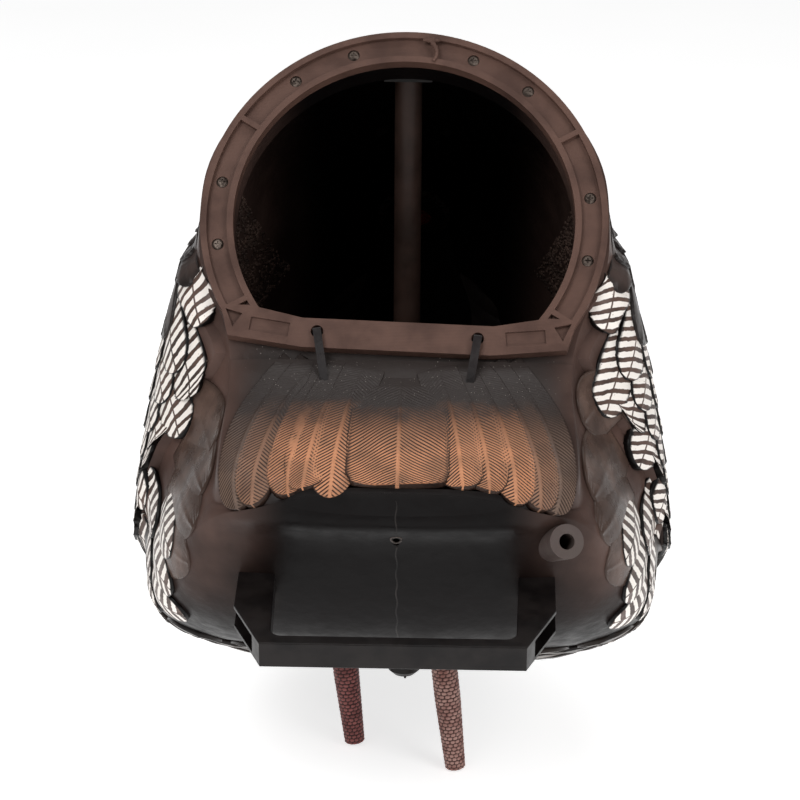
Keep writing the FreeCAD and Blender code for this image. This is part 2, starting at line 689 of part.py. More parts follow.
def make_leg_bolts():
    bolts = []
    for point in leg_stack_points():
        stud = cylinder_along(LEG_BOLT_R, point + leg_axis() * -46.0, leg_axis(), LEG_BOLT_LENGTH)
        bolts.append(stud)
    return Part.makeCompound(bolts)


def make_leg_washers():
    washers = []
    for point in leg_stack_points():
        disc = cylinder_along(LEG_WASHER_R, point, leg_axis(), LEG_WASHER_THICK)
        hole = cylinder_along(LEG_BOLT_R + HOLE_PLAY, point + leg_axis() * -2, leg_axis(), 8)
        washers.append(disc.cut(hole))
    return Part.makeCompound(washers)


def make_leg_nuts():
    nuts = []
    for point in leg_stack_points():
        hexagon = Part.Face(Part.makePolygon([polar(LEG_NUT_R, 60.0 * i) for i in range(7)]))
        nut = hexagon.extrude(Vec(0, 0, LEG_NUT_HEIGHT))
        nut = nut.cut(Part.makeCylinder(LEG_BOLT_R + HOLE_PLAY, 10, Vec(0, 0, -2)))
        turn = FreeCAD.Rotation(Z_AXIS, leg_axis())
        nuts.append(placed(nut, FreeCAD.Placement(point + leg_axis() * LEG_WASHER_THICK, turn)))
    return Part.makeCompound(nuts)


# ---- guide tube -----------------------------------------------------------------------
def guide_point(along):
    return GUIDE_FACE + GUIDE_AXIS * along


def make_guide_tube(outer):
    """Short rear tube: full section outside the wall, a thinner spigot through it."""
    tube = cylinder_along(GUIDE_R, GUIDE_FACE, GUIDE_AXIS * -1, 34.0).cut(outer)
    tube = largest(tube)
    spigot = cylinder_along(GUIDE_SPIGOT_R, GUIDE_FACE, GUIDE_AXIS * -1, GUIDE_LENGTH)
    tube = tube.fuse(spigot)
    return tube.cut(cylinder_along(GUIDE_BORE_R, guide_point(5.0), GUIDE_AXIS * -1, 80.0)).removeSplitter()


def make_guide_nut(cavity):
    """Locknut on the tube's spigot, drawn against the inside of the wall."""
    nut = cylinder_along(GUIDE_NUT_R, guide_point(-16.0), GUIDE_AXIS * -1, 30.0).common(cavity)
    nut = largest(nut.common(cylinder_along(30.0, guide_point(-16.0), GUIDE_AXIS * -1, 22.0)))
    return nut.cut(cylinder_along(GUIDE_SPIGOT_R + HOLE_PLAY, guide_point(5.0), GUIDE_AXIS * -1, 80.0))


# ---- neck collar and head -------------------------------------------------------------
def make_neck_collar():
    """Turning collar that sits in the body's neck hole and holds the head's peg."""
    top = NECK_SEAT + COLLAR_GAP + COLLAR_THICK
    groove_top = SNAP_SEAT - COLLAR_GAP
    profile = [
        (PEG_R + PEG_CLEARANCE, groove_top - 6.0), (COLLAR_R, groove_top - 6.0),
        (COLLAR_R, groove_top - SNAP_THICK - 0.2), (SNAP_GROOVE_R, groove_top - SNAP_THICK - 0.2),
        (SNAP_GROOVE_R, groove_top + 0.1), (COLLAR_R, groove_top + 0.1),
        (COLLAR_R, NECK_SEAT + COLLAR_GAP), (COLLAR_FLANGE_R, NECK_SEAT + COLLAR_GAP),
        (COLLAR_FLANGE_R, top - 1.0), (COLLAR_FLANGE_R - 1.0, top), (PEG_R + PEG_CLEARANCE, top),
    ]
    return revolve_profile(profile, NECK_BASE, NECK_AXIS)


def make_snap_ring():
    """Split ring in the collar's groove, behind the body's neck boss."""
    low = SNAP_SEAT - COLLAR_GAP - SNAP_THICK - 0.1
    ring = Part.makeCylinder(SNAP_RING_R, SNAP_THICK, Vec(0, 0, low)).cut(
        Part.makeCylinder(SNAP_GROOVE_R + HOLE_PLAY, 8, Vec(0, 0, low - 3))
    )
    ring = ring.cut(Part.makeBox(12, 30, 8, Vec(-6, 10, low - 3)))
    turn = FreeCAD.Rotation(Z_AXIS, NECK_AXIS)
    return placed(ring, FreeCAD.Placement(NECK_BASE, turn))


def tilted_circle(centre, radius, tilt):
    """Circle whose axis leans forward of vertical by the tilt; it always starts at +X."""
    turn = FreeCAD.Rotation(X_AXIS, -tilt)
    return Part.Wire(placed(Part.makeCircle(radius), FreeCAD.Placement(centre, turn)))


def spindle(centre, half_length, half_width, axis):
    """Ellipsoid of revolution about the given axis."""
    arc = Part.ArcOfEllipse(Part.Ellipse(Vec(0, 0, 0), half_length, half_width), 0, math.pi).toShape()
    chord = Part.makeLine(Vec(-half_length, 0, 0), Vec(half_length, 0, 0))
    solid = Part.Face(Part.Wire([arc, chord])).revolve(Vec(0, 0, 0), X_AXIS, 360)
    return placed(solid, FreeCAD.Placement(centre, FreeCAD.Rotation(X_AXIS, axis)))


def head_point(x, forward, up):
    """A point in head axes: forward runs along the bill."""
    pitch = math.radians(HEAD_PITCH)
    along = Vec(0, math.cos(pitch), -math.sin(pitch))
    above = Vec(0, math.sin(pitch), math.cos(pitch))
    return HEAD_CENTRE + X_AXIS * x + along * forward + above * up


def make_head():
    base = NECK_SEAT + 2 * COLLAR_GAP + COLLAR_THICK
    flange = cylinder_along(COLLAR_FLANGE_R - 1.0, neck_point(base), NECK_AXIS, 3.0)
    peg = cylinder_along(PEG_R, neck_point(base - PEG_LENGTH), NECK_AXIS, PEG_LENGTH + 1.0)
    start = neck_point(base + 2.5)
    neck = Part.makeLoft([
        tilted_circle(start, 23.5, NECK_TILT),
        tilted_circle(start + Vec(0, 11, 7), 21.0, 52.0),
        tilted_circle(start + Vec(0, 21, 16), 18.0, 44.0),
        tilted_circle(start + Vec(0, 29, 26), 15.5, 34.0),
    ], True, False)
    skull = spindle(HEAD_CENTRE, SKULL_HALF_LENGTH, SKULL_HALF_WIDTH, head_forward())
    bill = Part.makeLoft([
        tilted_circle(head_point(0, 18, -3), 7.2, 90 + HEAD_PITCH),
        tilted_circle(head_point(0, 30, -4.5), 5.0, 96 + HEAD_PITCH),
        tilted_circle(head_point(0, 43, -9.5), 1.2, 112 + HEAD_PITCH),
    ], True, False)
    wattles = [
        spindle(Vec(0, 251, 264), 14.0, 8.5, Vec(0, -0.2, 1)),
        Part.makeSphere(9.6, Vec(-8.5, 245, 256)),
        Part.makeSphere(9.6, Vec(8.5, 245, 256)),
        Part.makeSphere(9.2, Vec(0, 248.5, 247.5)),
    ]
    head = fuse_all([peg, flange, neck, skull, bill] + wattles)
    for side in (-1, 1):
        head = head.cut(eyeball(side, EYE_R + 0.02))
    return largest(head.cut(Part.makeCylinder(SNOOD_PEG_R + HOLE_PLAY, 6, snood_root(), head_up())))


def head_forward():
    return (head_point(0, 1, 0) - HEAD_CENTRE).normalize()


def head_up():
    return (head_point(0, 0, 1) - HEAD_CENTRE).normalize()


def snood_root():
    return head_point(0, 17.5, 5.2)


def eye_centre(side):
    return head_point(side * (EYE_OUT - 1.0), 7.5, 4.0)


def eyeball(side, radius):
    """Eye sphere with its seam inside the head."""
    ball = Part.makeSphere(radius)
    ball.rotate(Vec(0, 0, 0), Z_AXIS, 90 + side * 90)
    ball.translate(eye_centre(side))
    return ball


def make_snood(head):
    """Soft finger on the forehead that flops over one side of the bill."""
    root = snood_root()
    peg = cylinder_along(SNOOD_PEG_R, root + head_up() * 0.2, head_up(), 7.0)
    bead = Part.makeSphere(4.2, root + head_up() * 8.0)
    path = [
        root + head_up() * 8.0,
        head_point(3.0, 25.0, 14.5),
        head_point(9.5, 29.0, 8.0),
        head_point(12.0, 30.5, -4.0),
    ]
    parts = [peg, bead]
    radii = (3.8, 3.4, 3.0, 2.4)
    for i in range(3):
        run = path[i + 1] - path[i]
        parts.append(Part.makeCone(radii[i], radii[i + 1], run.Length, path[i], run))
        parts.append(Part.makeSphere(radii[i + 1], path[i + 1]))
    return largest(fuse_all(parts).cut(head))


# ---- beard ----------------------------------------------------------------------------
def make_beard_clip():
    """Breast clip: a plate, a stud through the wall and two ears for the pin."""
    plate = Part.makeBox(20, 3.0, 18, BEARD_PIN + Vec(-10, -14.0, -9))
    ears = []
    for side in (-1, 1):
        x = side * (CLIP_HALF + CLIP_EAR / 2) - CLIP_EAR / 2
        ear = Part.makeBox(CLIP_EAR, 12.0, 9, BEARD_PIN + Vec(x, -12.0, -4.5))
        tip = Part.makeCylinder(4.5, CLIP_EAR, BEARD_PIN + Vec(x, 0, 0), X_AXIS)
        ears += [ear, tip]
    stud = cylinder_along(BEARD_STUD_R, BEARD_PIN + Vec(0, -13, 0), Vec(0, -1, 0), 14.0)
    clip = fuse_all([plate, stud] + ears)
    return clip.cut(Part.makeCylinder(BEARD_PIN_R + HOLE_PLAY, 40, BEARD_PIN + Vec(-20, 0, 0), X_AXIS))


def make_beard_pin():
    start = BEARD_PIN + Vec(-CLIP_HALF - 4, 0, 0)
    pin = Part.makeCylinder(BEARD_PIN_R, 2 * CLIP_HALF + 8.0, start, X_AXIS)
    head = Part.makeCylinder(2.6, 1.4, BEARD_PIN + Vec(-CLIP_HALF - 4.2, 0, 0), X_AXIS)
    return pin.fuse(head)


def make_beard():
    """Bristle tuft hanging from a ferrule on the pin."""
    eye = Part.makeCylinder(4.0, 2 * CLIP_HALF - 0.8, BEARD_PIN + Vec(-CLIP_HALF + 0.4, 0, 0), X_AXIS)
    profile = [
        (0.01, -2.0), (5.2, -2.0), (5.4, -14.0), (6.8, -42.0), (5.6, -74.0), (2.2, -BEARD_LENGTH),
        (0.01, -BEARD_LENGTH),
    ]
    tuft = revolve_profile(profile, Vec(0, 0, 0), Z_AXIS)
    flatten = FreeCAD.Matrix()
    flatten.scale(1.0, BEARD_FLATTEN, 1.0)
    tuft = tuft.transformGeometry(flatten)
    tuft.translate(BEARD_PIN)
    beard = eye.fuse(tuft)
    return beard.cut(Part.makeCylinder(BEARD_PIN_R + 0.06, 40, BEARD_PIN + Vec(-20, 0, 0), X_AXIS))


# ---- build ----------------------------------------------------------------------------
def main():
    os.makedirs("parts", exist_ok=True)
    outer, cavity = make_forms()
    save(make_body_shell(outer, cavity), "body_shell")
    save(make_tail_frame(), "tail_frame")
    save(make_frame_screws(), "frame_screws")
    save(make_cable_tie("left"), "cable_tie_left")
    save(make_cable_tie("right"), "cable_tie_right")
    save(make_carry_handle(outer), "carry_handle")
    save(make_backing_plates(cavity), "handle_backing_plates")
    save(make_handle_bolts(), "handle_bolts")
    save(make_stake_socket(), "stake_socket")
    save(make_stake_post(), "stake_post")
    save(make_socket_screws(), "socket_screws")
    save(make_post_cap(cavity), "post_cap")
    for side, foot in LEG_FEET.items():
        save(make_leg(foot), "leg_" + side)
    save(make_leg_bolts(), "leg_bolts")
    save(make_leg_washers(), "leg_washers")
    save(make_leg_nuts(), "leg_nuts")
    save(make_guide_tube(outer), "guide_tube")
    save(make_guide_nut(cavity), "guide_tube_nut")
    save(make_neck_collar(), "neck_collar")
    save(make_snap_ring(), "collar_snap_ring")
    head = make_head()
    save(head, "head")
    save(eyeball(-1, EYE_R), "eye_left")
    save(eyeball(1, EYE_R), "eye_right")
    save(make_snood(head), "snood")
    save(make_beard(), "beard")
    save(make_beard_pin(), "beard_pin")
    save(make_beard_clip(), "beard_clip")


main()
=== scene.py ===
import json
import math

import bpy
import numpy as np
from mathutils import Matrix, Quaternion, Vector
from mathutils.bvhtree import BVHTree


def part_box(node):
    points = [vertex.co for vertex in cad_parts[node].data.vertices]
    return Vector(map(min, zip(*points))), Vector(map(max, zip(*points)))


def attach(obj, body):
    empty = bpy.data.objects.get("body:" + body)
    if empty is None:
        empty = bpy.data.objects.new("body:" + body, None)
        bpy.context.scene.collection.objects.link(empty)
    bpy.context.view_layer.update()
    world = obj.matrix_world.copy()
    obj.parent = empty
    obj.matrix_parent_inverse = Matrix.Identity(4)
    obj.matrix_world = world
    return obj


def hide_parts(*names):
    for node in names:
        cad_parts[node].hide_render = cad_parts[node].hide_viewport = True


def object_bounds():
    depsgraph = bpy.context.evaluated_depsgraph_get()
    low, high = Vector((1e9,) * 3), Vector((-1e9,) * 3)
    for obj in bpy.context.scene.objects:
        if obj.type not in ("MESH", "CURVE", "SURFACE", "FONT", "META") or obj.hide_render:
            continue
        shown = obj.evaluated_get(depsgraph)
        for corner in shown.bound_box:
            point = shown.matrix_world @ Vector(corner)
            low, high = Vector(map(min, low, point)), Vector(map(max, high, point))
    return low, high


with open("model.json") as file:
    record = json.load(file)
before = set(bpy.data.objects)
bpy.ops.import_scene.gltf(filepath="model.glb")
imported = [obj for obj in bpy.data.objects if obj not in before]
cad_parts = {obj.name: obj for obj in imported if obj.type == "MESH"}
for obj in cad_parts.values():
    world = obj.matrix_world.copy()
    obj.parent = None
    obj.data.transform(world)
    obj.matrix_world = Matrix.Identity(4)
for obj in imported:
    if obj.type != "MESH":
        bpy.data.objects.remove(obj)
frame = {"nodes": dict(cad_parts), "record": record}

CAD_BOX = [list(corner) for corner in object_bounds()]
SHELL_LOW, SHELL_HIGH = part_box("body_shell")
VENT = Vector((0.0, 0.0, 0.1735))
NECK = (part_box("neck_collar")[0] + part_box("neck_collar")[1]) / 2.0
MM = 0.001
rng = np.random.default_rng(7)


# ---------------------------------------------------------------- materials

class Graph:
    """A node material: each call adds one node and links or sets its inputs."""

    def __init__(self, name):
        self.material = bpy.data.materials.new(name)
        self.material.use_nodes = True
        self.tree = self.material.node_tree
        self.tree.nodes.clear()
        self.place = self.add("ShaderNodeTexCoord").outputs["Object"]

    def add(self, kind, inputs=None, **settings):
        node = self.tree.nodes.new(kind)
        for key, value in settings.items():
            setattr(node, key, value)
        for key, value in (inputs or {}).items():
            self.feed(node.inputs[key], value)
        return node

    def feed(self, socket, value):
        if isinstance(value, bpy.types.NodeSocket):
            self.tree.links.new(value, socket)
        elif socket.type == "RGBA" and len(value) == 3:
            socket.default_value = (*value, 1.0)
        else:
            socket.default_value = value

    def math(self, operation, a, b=0.0):
        return self.add("ShaderNodeMath", {0: a, 1: b}, operation=operation).outputs[0]

    def ramp(self, value, low, high, out_low=0.0, out_high=1.0):
        """value from low to high, eased, becomes out_low to out_high."""
        node = self.add("ShaderNodeMapRange", {
            "Value": value, "From Min": low, "From Max": high,
            "To Min": out_low, "To Max": out_high}, interpolation_type="SMOOTHSTEP")
        return node.outputs["Result"]

    def mix(self, factor, a, b):
        node = self.add("ShaderNodeMix", data_type="RGBA")
        self.feed(node.inputs["Factor"], factor)
        self.feed(node.inputs["A"], a)
        self.feed(node.inputs["B"], b)
        return node.outputs["Result"]

    def noise(self, scale, detail=3.0, rough=0.55, stretch=None):
        source = self.place
        if stretch:
            source = self.add("ShaderNodeMapping", {"Vector": source, "Scale": stretch}).outputs[0]
        node = self.add("ShaderNodeTexNoise", {
            "Vector": source, "Scale": scale, "Detail": detail, "Roughness": rough})
        return node.outputs["Fac"]

    def cells(self, scale):
        node = self.add("ShaderNodeTexVoronoi", {
            "Vector": self.place, "Scale": scale})
        return node.outputs["Distance"]

    def split(self, vector=None):
        return self.add("ShaderNodeSeparateXYZ", {0: vector or self.place}).outputs

    def attribute(self, name):
        return self.add("ShaderNodeAttribute", attribute_name=name)

    def bump(self, height, depth, strength=1.0, under=None):
        node = self.add("ShaderNodeBump", {"Height": height, "Distance": depth, "Strength": strength})
        if under:
            self.feed(node.inputs["Normal"], under)
        return node.outputs["Normal"]

    def finish(self, colour, roughness, normal=None, **sockets):
        shader = self.add("ShaderNodeBsdfPrincipled", {"Base Color": colour, "Roughness": roughness})
        if normal:
            self.feed(shader.inputs["Normal"], normal)
        shader.inputs["Specular IOR Level"].default_value = 0.18
        for key, value in sockets.items():
            shader.inputs[key.replace("_", " ")].default_value = value
        out = self.add("ShaderNodeOutputMaterial")
        self.tree.links.new(shader.outputs[0], out.inputs["Surface"])
        return self.material


def linear(red, green, blue):
    """Display values from 0 to 255 as the linear colour that a shader takes."""
    return tuple((v / 255.0 / 12.92 if v <= 10 else ((v / 255.0 + 0.055) / 1.055) ** 2.4)
                 for v in (red, green, blue))


FRAME_BROWN = linear(93, 69, 60)
FRAME_SHADE = linear(72, 52, 45)
# SHELL_DARK is near-black plastic, set darker than the paint so the belly also carries painted shade of its
# downward-facing surface.
SHELL_DARK = linear(11, 8, 8)
SHELL_BROWN = linear(96, 75, 68)
SHELL_GREY = linear(50, 44, 42)
DUST = linear(205, 196, 188)
BRONZE = linear(200, 140, 104)
BAR_WHITE = linear(240, 233, 226)
BAR_BROWN = linear(92, 73, 65)
SATIN_BLACK = linear(17, 14, 14)
TIE_BLACK = linear(30, 27, 27)
TUBE_GREY = linear(76, 65, 62)
STEEL = linear(120, 108, 100)


def shell_material():
    """Dark moulded body: brown gloss on the flanks, a dusty grey shelf, and near-black below, which is part
    black paint and part painted shade of the downward-facing belly.
    """
    g = Graph("shell_plastic")
    x, y, z = g.split()
    side = g.math("ABSOLUTE", x)
    # Brown only high on the sides; lower down and across the belly the colour drops to SHELL_DARK, part
    # black paint and part painted shade of the downward-facing belly.
    flank = g.math("MULTIPLY", g.ramp(side, 0.055, 0.115), g.ramp(z, 0.095, 0.185))
    patch = g.ramp(g.noise(16.0, 4.0), 0.35, 0.65, 0.45, 1.0)
    colour = g.mix(g.math("MULTIPLY", flank, patch), SHELL_DARK, SHELL_BROWN)
    shelf = g.math("MULTIPLY", g.ramp(z, 0.198, 0.222), g.ramp(side, 0.10, 0.07))
    shelf = g.math("MULTIPLY", shelf, g.ramp(y, -0.112, -0.130))
    colour = g.mix(shelf, colour, SHELL_GREY)
    speck = g.ramp(g.cells(520.0), 0.13, 0.08)
    speck = g.math("MULTIPLY", speck, g.ramp(g.noise(60.0, 2.0), 0.50, 0.66))
    colour = g.mix(g.math("MULTIPLY", g.math("MULTIPLY", speck, shelf), 0.75), colour, DUST)
    rough = g.ramp(g.noise(90.0, 4.0), 0.3, 0.7, 0.30, 0.46)
    fine = g.bump(g.noise(900.0, 3.0), 0.00012, 0.5)
    lumps = g.bump(g.noise(42.0, 3.0), 0.0016, 0.6, fine)
    return g.finish(colour, rough, lumps, Specular_IOR_Level=0.10)


def frame_material():
    """Matte brown moulding with fine layer lines and faint handling marks."""
    g = Graph("frame_plastic_brown")
    wash = g.noise(40.0, 4.0)
    colour = g.mix(g.ramp(wash, 0.35, 0.7), FRAME_BROWN, FRAME_SHADE)
    lines = g.add("ShaderNodeTexWave", {
        "Vector": g.place, "Scale": 460.0, "Distortion": 0.4, "Detail": 2.0},
        bands_direction="Z").outputs["Fac"]
    colour = g.mix(g.math("MULTIPLY", lines, 0.14), colour, FRAME_SHADE)
    normal = g.bump(lines, 0.00008, 0.5, g.bump(g.noise(700.0, 3.0), 0.00008, 0.5))
    return g.finish(colour, g.ramp(wash, 0.3, 0.7, 0.50, 0.62), normal)


def satin_material(name, colour, shade, rough=(0.38, 0.5), grain=1200.0, depth=0.00007):
    """Moulded plastic with a fine spark-eroded grain and a slow change of tone."""
    g = Graph(name)
    wash = g.noise(55.0, 4.0)
    paint = g.mix(g.ramp(wash, 0.35, 0.68), colour, shade)
    normal = g.bump(g.noise(grain, 2.0), depth, 0.6)
    return g.finish(paint, g.ramp(g.noise(130.0, 3.0), 0.3, 0.7, *rough), normal)


def steel_material():
    g = Graph("screw_steel_worn")
    wash = g.noise(300.0, 3.0)
    paint = g.mix(g.ramp(wash, 0.4, 0.65), STEEL, linear(52, 44, 40))
    return g.finish(paint, g.ramp(wash, 0.3, 0.7, 0.28, 0.5), g.bump(wash, 0.00005, 0.5), Metallic=0.85)


def head_material():
    """Wattled skin: red on the neck, blue round the eyes and a pale crown, all finely wrinkled."""
    g = Graph("head_skin_rubber")
    z = g.split()[2]
    drift = g.math("MULTIPLY", g.math("SUBTRACT", g.noise(90.0, 3.0), 0.5), 0.016)
    level = g.math("ADD", z, drift)
    red = g.mix(g.ramp(g.noise(160.0, 3.0), 0.35, 0.65), linear(150, 44, 38), linear(112, 30, 30))
    blue = g.mix(g.ramp(g.noise(130.0, 3.0), 0.35, 0.65), linear(108, 134, 158), linear(84, 104, 128))
    colour = g.mix(g.ramp(level, 0.268, 0.281), red, blue)
    colour = g.mix(g.ramp(level, 0.298, 0.306), colour, linear(206, 198, 190))
    folds = g.cells(420.0)
    # Darkens the fold grooves that the bump below sinks into the skin: painted shade in the creases.
    colour = g.mix(g.ramp(folds, 0.45, 0.75, 0.0, 0.45), colour, linear(70, 36, 36))
    normal = g.bump(folds, -0.0007, 0.8, g.bump(g.noise(1300.0, 3.0), 0.0001, 0.6))
    return g.finish(colour, g.ramp(g.noise(200.0, 3.0), 0.3, 0.7, 0.36, 0.52), normal)


def eye_material():
    """A glossy dark eye: black pupil and a brown ring round it, seen from either side."""
    g = Graph("eye_brown_gloss")
    y, z = g.split()[1], g.split()[2]
    low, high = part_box("eye_left")
    middle = (low + high) / 2.0
    across = g.math("SUBTRACT", y, middle.y)
    above = g.math("SUBTRACT", z, middle.z)
    square = g.math("ADD", g.math("MULTIPLY", across, across), g.math("MULTIPLY", above, above))
    reach = g.math("SQRT", square)
    iris = g.mix(g.ramp(g.noise(900.0, 3.0), 0.35, 0.65), linear(96, 52, 26), linear(58, 30, 18))
    colour = g.mix(g.ramp(reach, 0.0012, 0.0016), linear(6, 5, 5), iris)
    colour = g.mix(g.ramp(reach, 0.0026, 0.0031), colour, linear(14, 9, 8))
    rough = g.ramp(g.noise(300.0, 2.0), 0.3, 0.7, 0.06, 0.12)
    return g.finish(colour, rough, None, Specular_IOR_Level=0.5)


def beard_material():
    """Coarse dark strands with a rusty tip."""
    g = Graph("beard_bristle_black")
    z = g.split()[2]
    strands = g.noise(900.0, 3.0, 0.6, (1.0, 1.0, 0.04))
    colour = g.mix(g.ramp(strands, 0.35, 0.65), linear(16, 13, 12), linear(58, 46, 38))
    colour = g.mix(g.ramp(z, 0.128, 0.104, 0.0, 0.7), colour, linear(98, 62, 36))
    return g.finish(colour, g.ramp(strands, 0.3, 0.7, 0.40, 0.58), g.bump(strands, 0.0003, 0.9))


def covert_material():
    """Bronze paint dragged over raised barbs, fading to bare dark plastic at the root."""
    g = Graph("covert_bronze")
    ridge = g.attribute("ridge").outputs["Fac"]
    fade = g.attribute("fade").outputs["Fac"]
    tone = g.attribute("tone").outputs["Fac"]
    wash = g.noise(70.0, 4.0)
    broken = g.noise(420.0, 3.0)
    bronze = g.mix(g.ramp(wash, 0.35, 0.7), BRONZE, linear(162, 116, 88))
    dull = g.mix(g.ramp(wash, 0.35, 0.7), linear(112, 92, 80), linear(92, 76, 68))
    paint = g.mix(tone, dull, bronze)
    reach = g.math("ADD", fade, g.math("MULTIPLY", g.math("SUBTRACT", wash, 0.5), 0.35))
    cover = g.math("MULTIPLY", g.ramp(reach, 0.30, 0.72), g.ramp(ridge, 0.22, 0.62))
    cover = g.math("MULTIPLY", cover, g.ramp(broken, 0.20, 0.34))
    margin = g.split(g.attribute("feather").outputs["Vector"])[2]
    cover = g.math("MULTIPLY", cover, g.ramp(margin, 1.0, 0.88))
    bare = g.mix(g.ramp(reach, 0.25, 0.6), SHELL_GREY, linear(52, 38, 32))
    dust = g.math("MULTIPLY", g.ramp(g.cells(520.0), 0.12, 0.07), g.ramp(fade, 0.5, 0.1))
    colour = g.mix(g.math("MULTIPLY", dust, 0.6), g.mix(cover, bare, paint), DUST)
    return g.finish(colour, g.ramp(broken, 0.3, 0.7, 0.34, 0.50), g.bump(broken, 0.00008, 0.6))


def barred_material(name, period, share, bow, slant, edge):
    """White bars sprayed across each feather, with a dark margin and a bare shaft."""
    g = Graph(name)
    across, along, _ = g.split(g.attribute("feather").outputs["Vector"])
    width = g.attribute("ridge").outputs["Fac"]
    tone = g.attribute("tone").outputs["Fac"]
    wobble = g.math("MULTIPLY", g.math("SUBTRACT", g.noise(260.0, 2.0), 0.5), 0.0016)
    arch = g.math("MULTIPLY", g.math("ABSOLUTE", across), bow)
    bend = g.math("ADD", arch, g.math("MULTIPLY", across, slant))
    start = g.math("ADD", g.math("SUBTRACT", along, bend), wobble)
    run = g.math("ADD", start, g.math("MULTIPLY", tone, period))
    turn = g.math("MULTIPLY", run, 2.0 * math.pi / period)
    wave = g.math("SINE", turn)
    bar = g.ramp(wave, share, share + 0.35)
    inside = g.ramp(g.math("ABSOLUTE", width), edge, edge - 0.16)
    shaft = g.ramp(g.math("ABSOLUTE", across), 0.0003, 0.0008)
    bar = g.math("MULTIPLY", g.math("MULTIPLY", bar, inside), shaft)
    bar = g.math("MULTIPLY", bar, g.ramp(g.noise(700.0, 2.0), 0.22, 0.32))
    wash = g.noise(60.0, 3.0)
    brown = g.mix(g.ramp(wash, 0.35, 0.68), BAR_BROWN, linear(62, 49, 44))
    brown = g.mix(g.ramp(g.math("ABSOLUTE", width), 0.80, 0.98), brown, SHELL_DARK)
    colour = g.mix(bar, brown, BAR_WHITE)
    return g.finish(colour, g.ramp(wash, 0.3, 0.7, 0.32, 0.46), g.bump(g.noise(500.0, 3.0), 0.0001, 0.6))


def plume_material(name, light, dark, rim, rough):
    """Smooth moulded feathers: a paler middle, a dark rim and a faint shaft."""
    g = Graph(name)
    width = g.attribute("ridge").outputs["Fac"]
    fade = g.attribute("fade").outputs["Fac"]
    tone = g.attribute("tone").outputs["Fac"]
    wash = g.noise(48.0, 4.0)
    body = g.mix(g.ramp(g.math("ADD", wash, g.math("MULTIPLY", tone, 0.25)), 0.4, 0.8), dark, light)
    lip = g.math("MAXIMUM", g.ramp(width, 0.78, 1.0), g.ramp(fade, 0.80, 1.0))
    colour = g.mix(g.math("MULTIPLY", lip, 0.8), body, rim)
    gloss = g.ramp(g.noise(110.0, 3.0), 0.3, 0.7, *rough)
    return g.finish(colour, gloss, g.bump(g.noise(420.0, 3.0), 0.00012, 0.6))


# ---------------------------------------------------------------- surface of the moulded body

def tree_of(node):
    """A tree for finding places on a CAD node's surface."""
    mesh = frame["nodes"][node].data
    return BVHTree.FromPolygons([v.co.copy() for v in mesh.vertices],
                                [tuple(p.vertices) for p in mesh.polygons])


surface = tree_of("body_shell")
CLEAR = 0.5


def drop(point, direction):
    """The place and outward normal where a ray through point, from well outside, meets the body."""
    start = point - direction * CLEAR
    hit, normal, _, _ = surface.ray_cast(start, direction)
    return (hit, normal) if hit else (point.copy(), -direction)


def cling(point, normal, reach=0.004):
    """The closest place on the outside of the body to a point close to it."""
    hit, found, _, _ = surface.find_nearest(point + normal * reach)
    if found.dot(normal) < 0.0:
        return hit, normal
    return hit, found


def soften(values, passes):
    """Averages a grid along both of its first two axes, keeping the edges."""
    for _ in range(passes):
        for axis in (0, 1):
            inner = np.moveaxis(values, axis, 0)
            inner[1:-1] = 0.25 * inner[:-2] + 0.5 * inner[1:-1] + 0.25 * inner[2:]
            values = np.moveaxis(inner, 0, axis)
    return values


def sample(grid, row, column):
    """Values of a grid of vectors at fractional rows and columns, straight between its points."""
    top, side = grid.shape[0] - 1, grid.shape[1] - 1
    r = np.clip(row, 0.0, top - 1e-6)
    c = np.clip(column, 0.0, side - 1e-6)
    i, j = r.astype(int), c.astype(int)
    fr, fc = (r - i)[..., None], (c - j)[..., None]
    near = grid[i, j] * (1 - fc) + grid[i, j + 1] * fc
    far = grid[i + 1, j] * (1 - fc) + grid[i + 1, j + 1] * fc
    return near * (1 - fr) + far * fr


def patch(root, normal, heading, turn_to, length, half, rows=13, columns=9, passes=2):
    """A strip of the body's surface, as grids of places and normals.

    It starts at root and runs along heading, turning to turn_to.
    """
    places = np.zeros((rows, columns, 3))
    normals = np.zeros((rows, columns, 3))
    spot, facing = cling(root, normal)
    step = length / (rows - 1)
    for i in range(rows):
        share = i / (rows - 1)
        way = (heading * (1 - share) + turn_to * share).normalized()
        way = (way - facing * way.dot(facing)).normalized()
        across = way.cross(facing).normalized()
        for j in range(columns):
            offset = (2.0 * j / (columns - 1) - 1.0) * half
            place, found = cling(spot + across * offset, facing)
            if (place - spot).length > 1.6 * half:
                place, found = spot + across * offset, facing
            places[i, j] = place
            normals[i, j] = found
        spot, facing = cling(spot + way * step, facing)
    places = soften(places, passes)
    normals = soften(normals, passes + 2)
    normals /= np.linalg.norm(normals, axis=2, keepdims=True)
    return places, normals


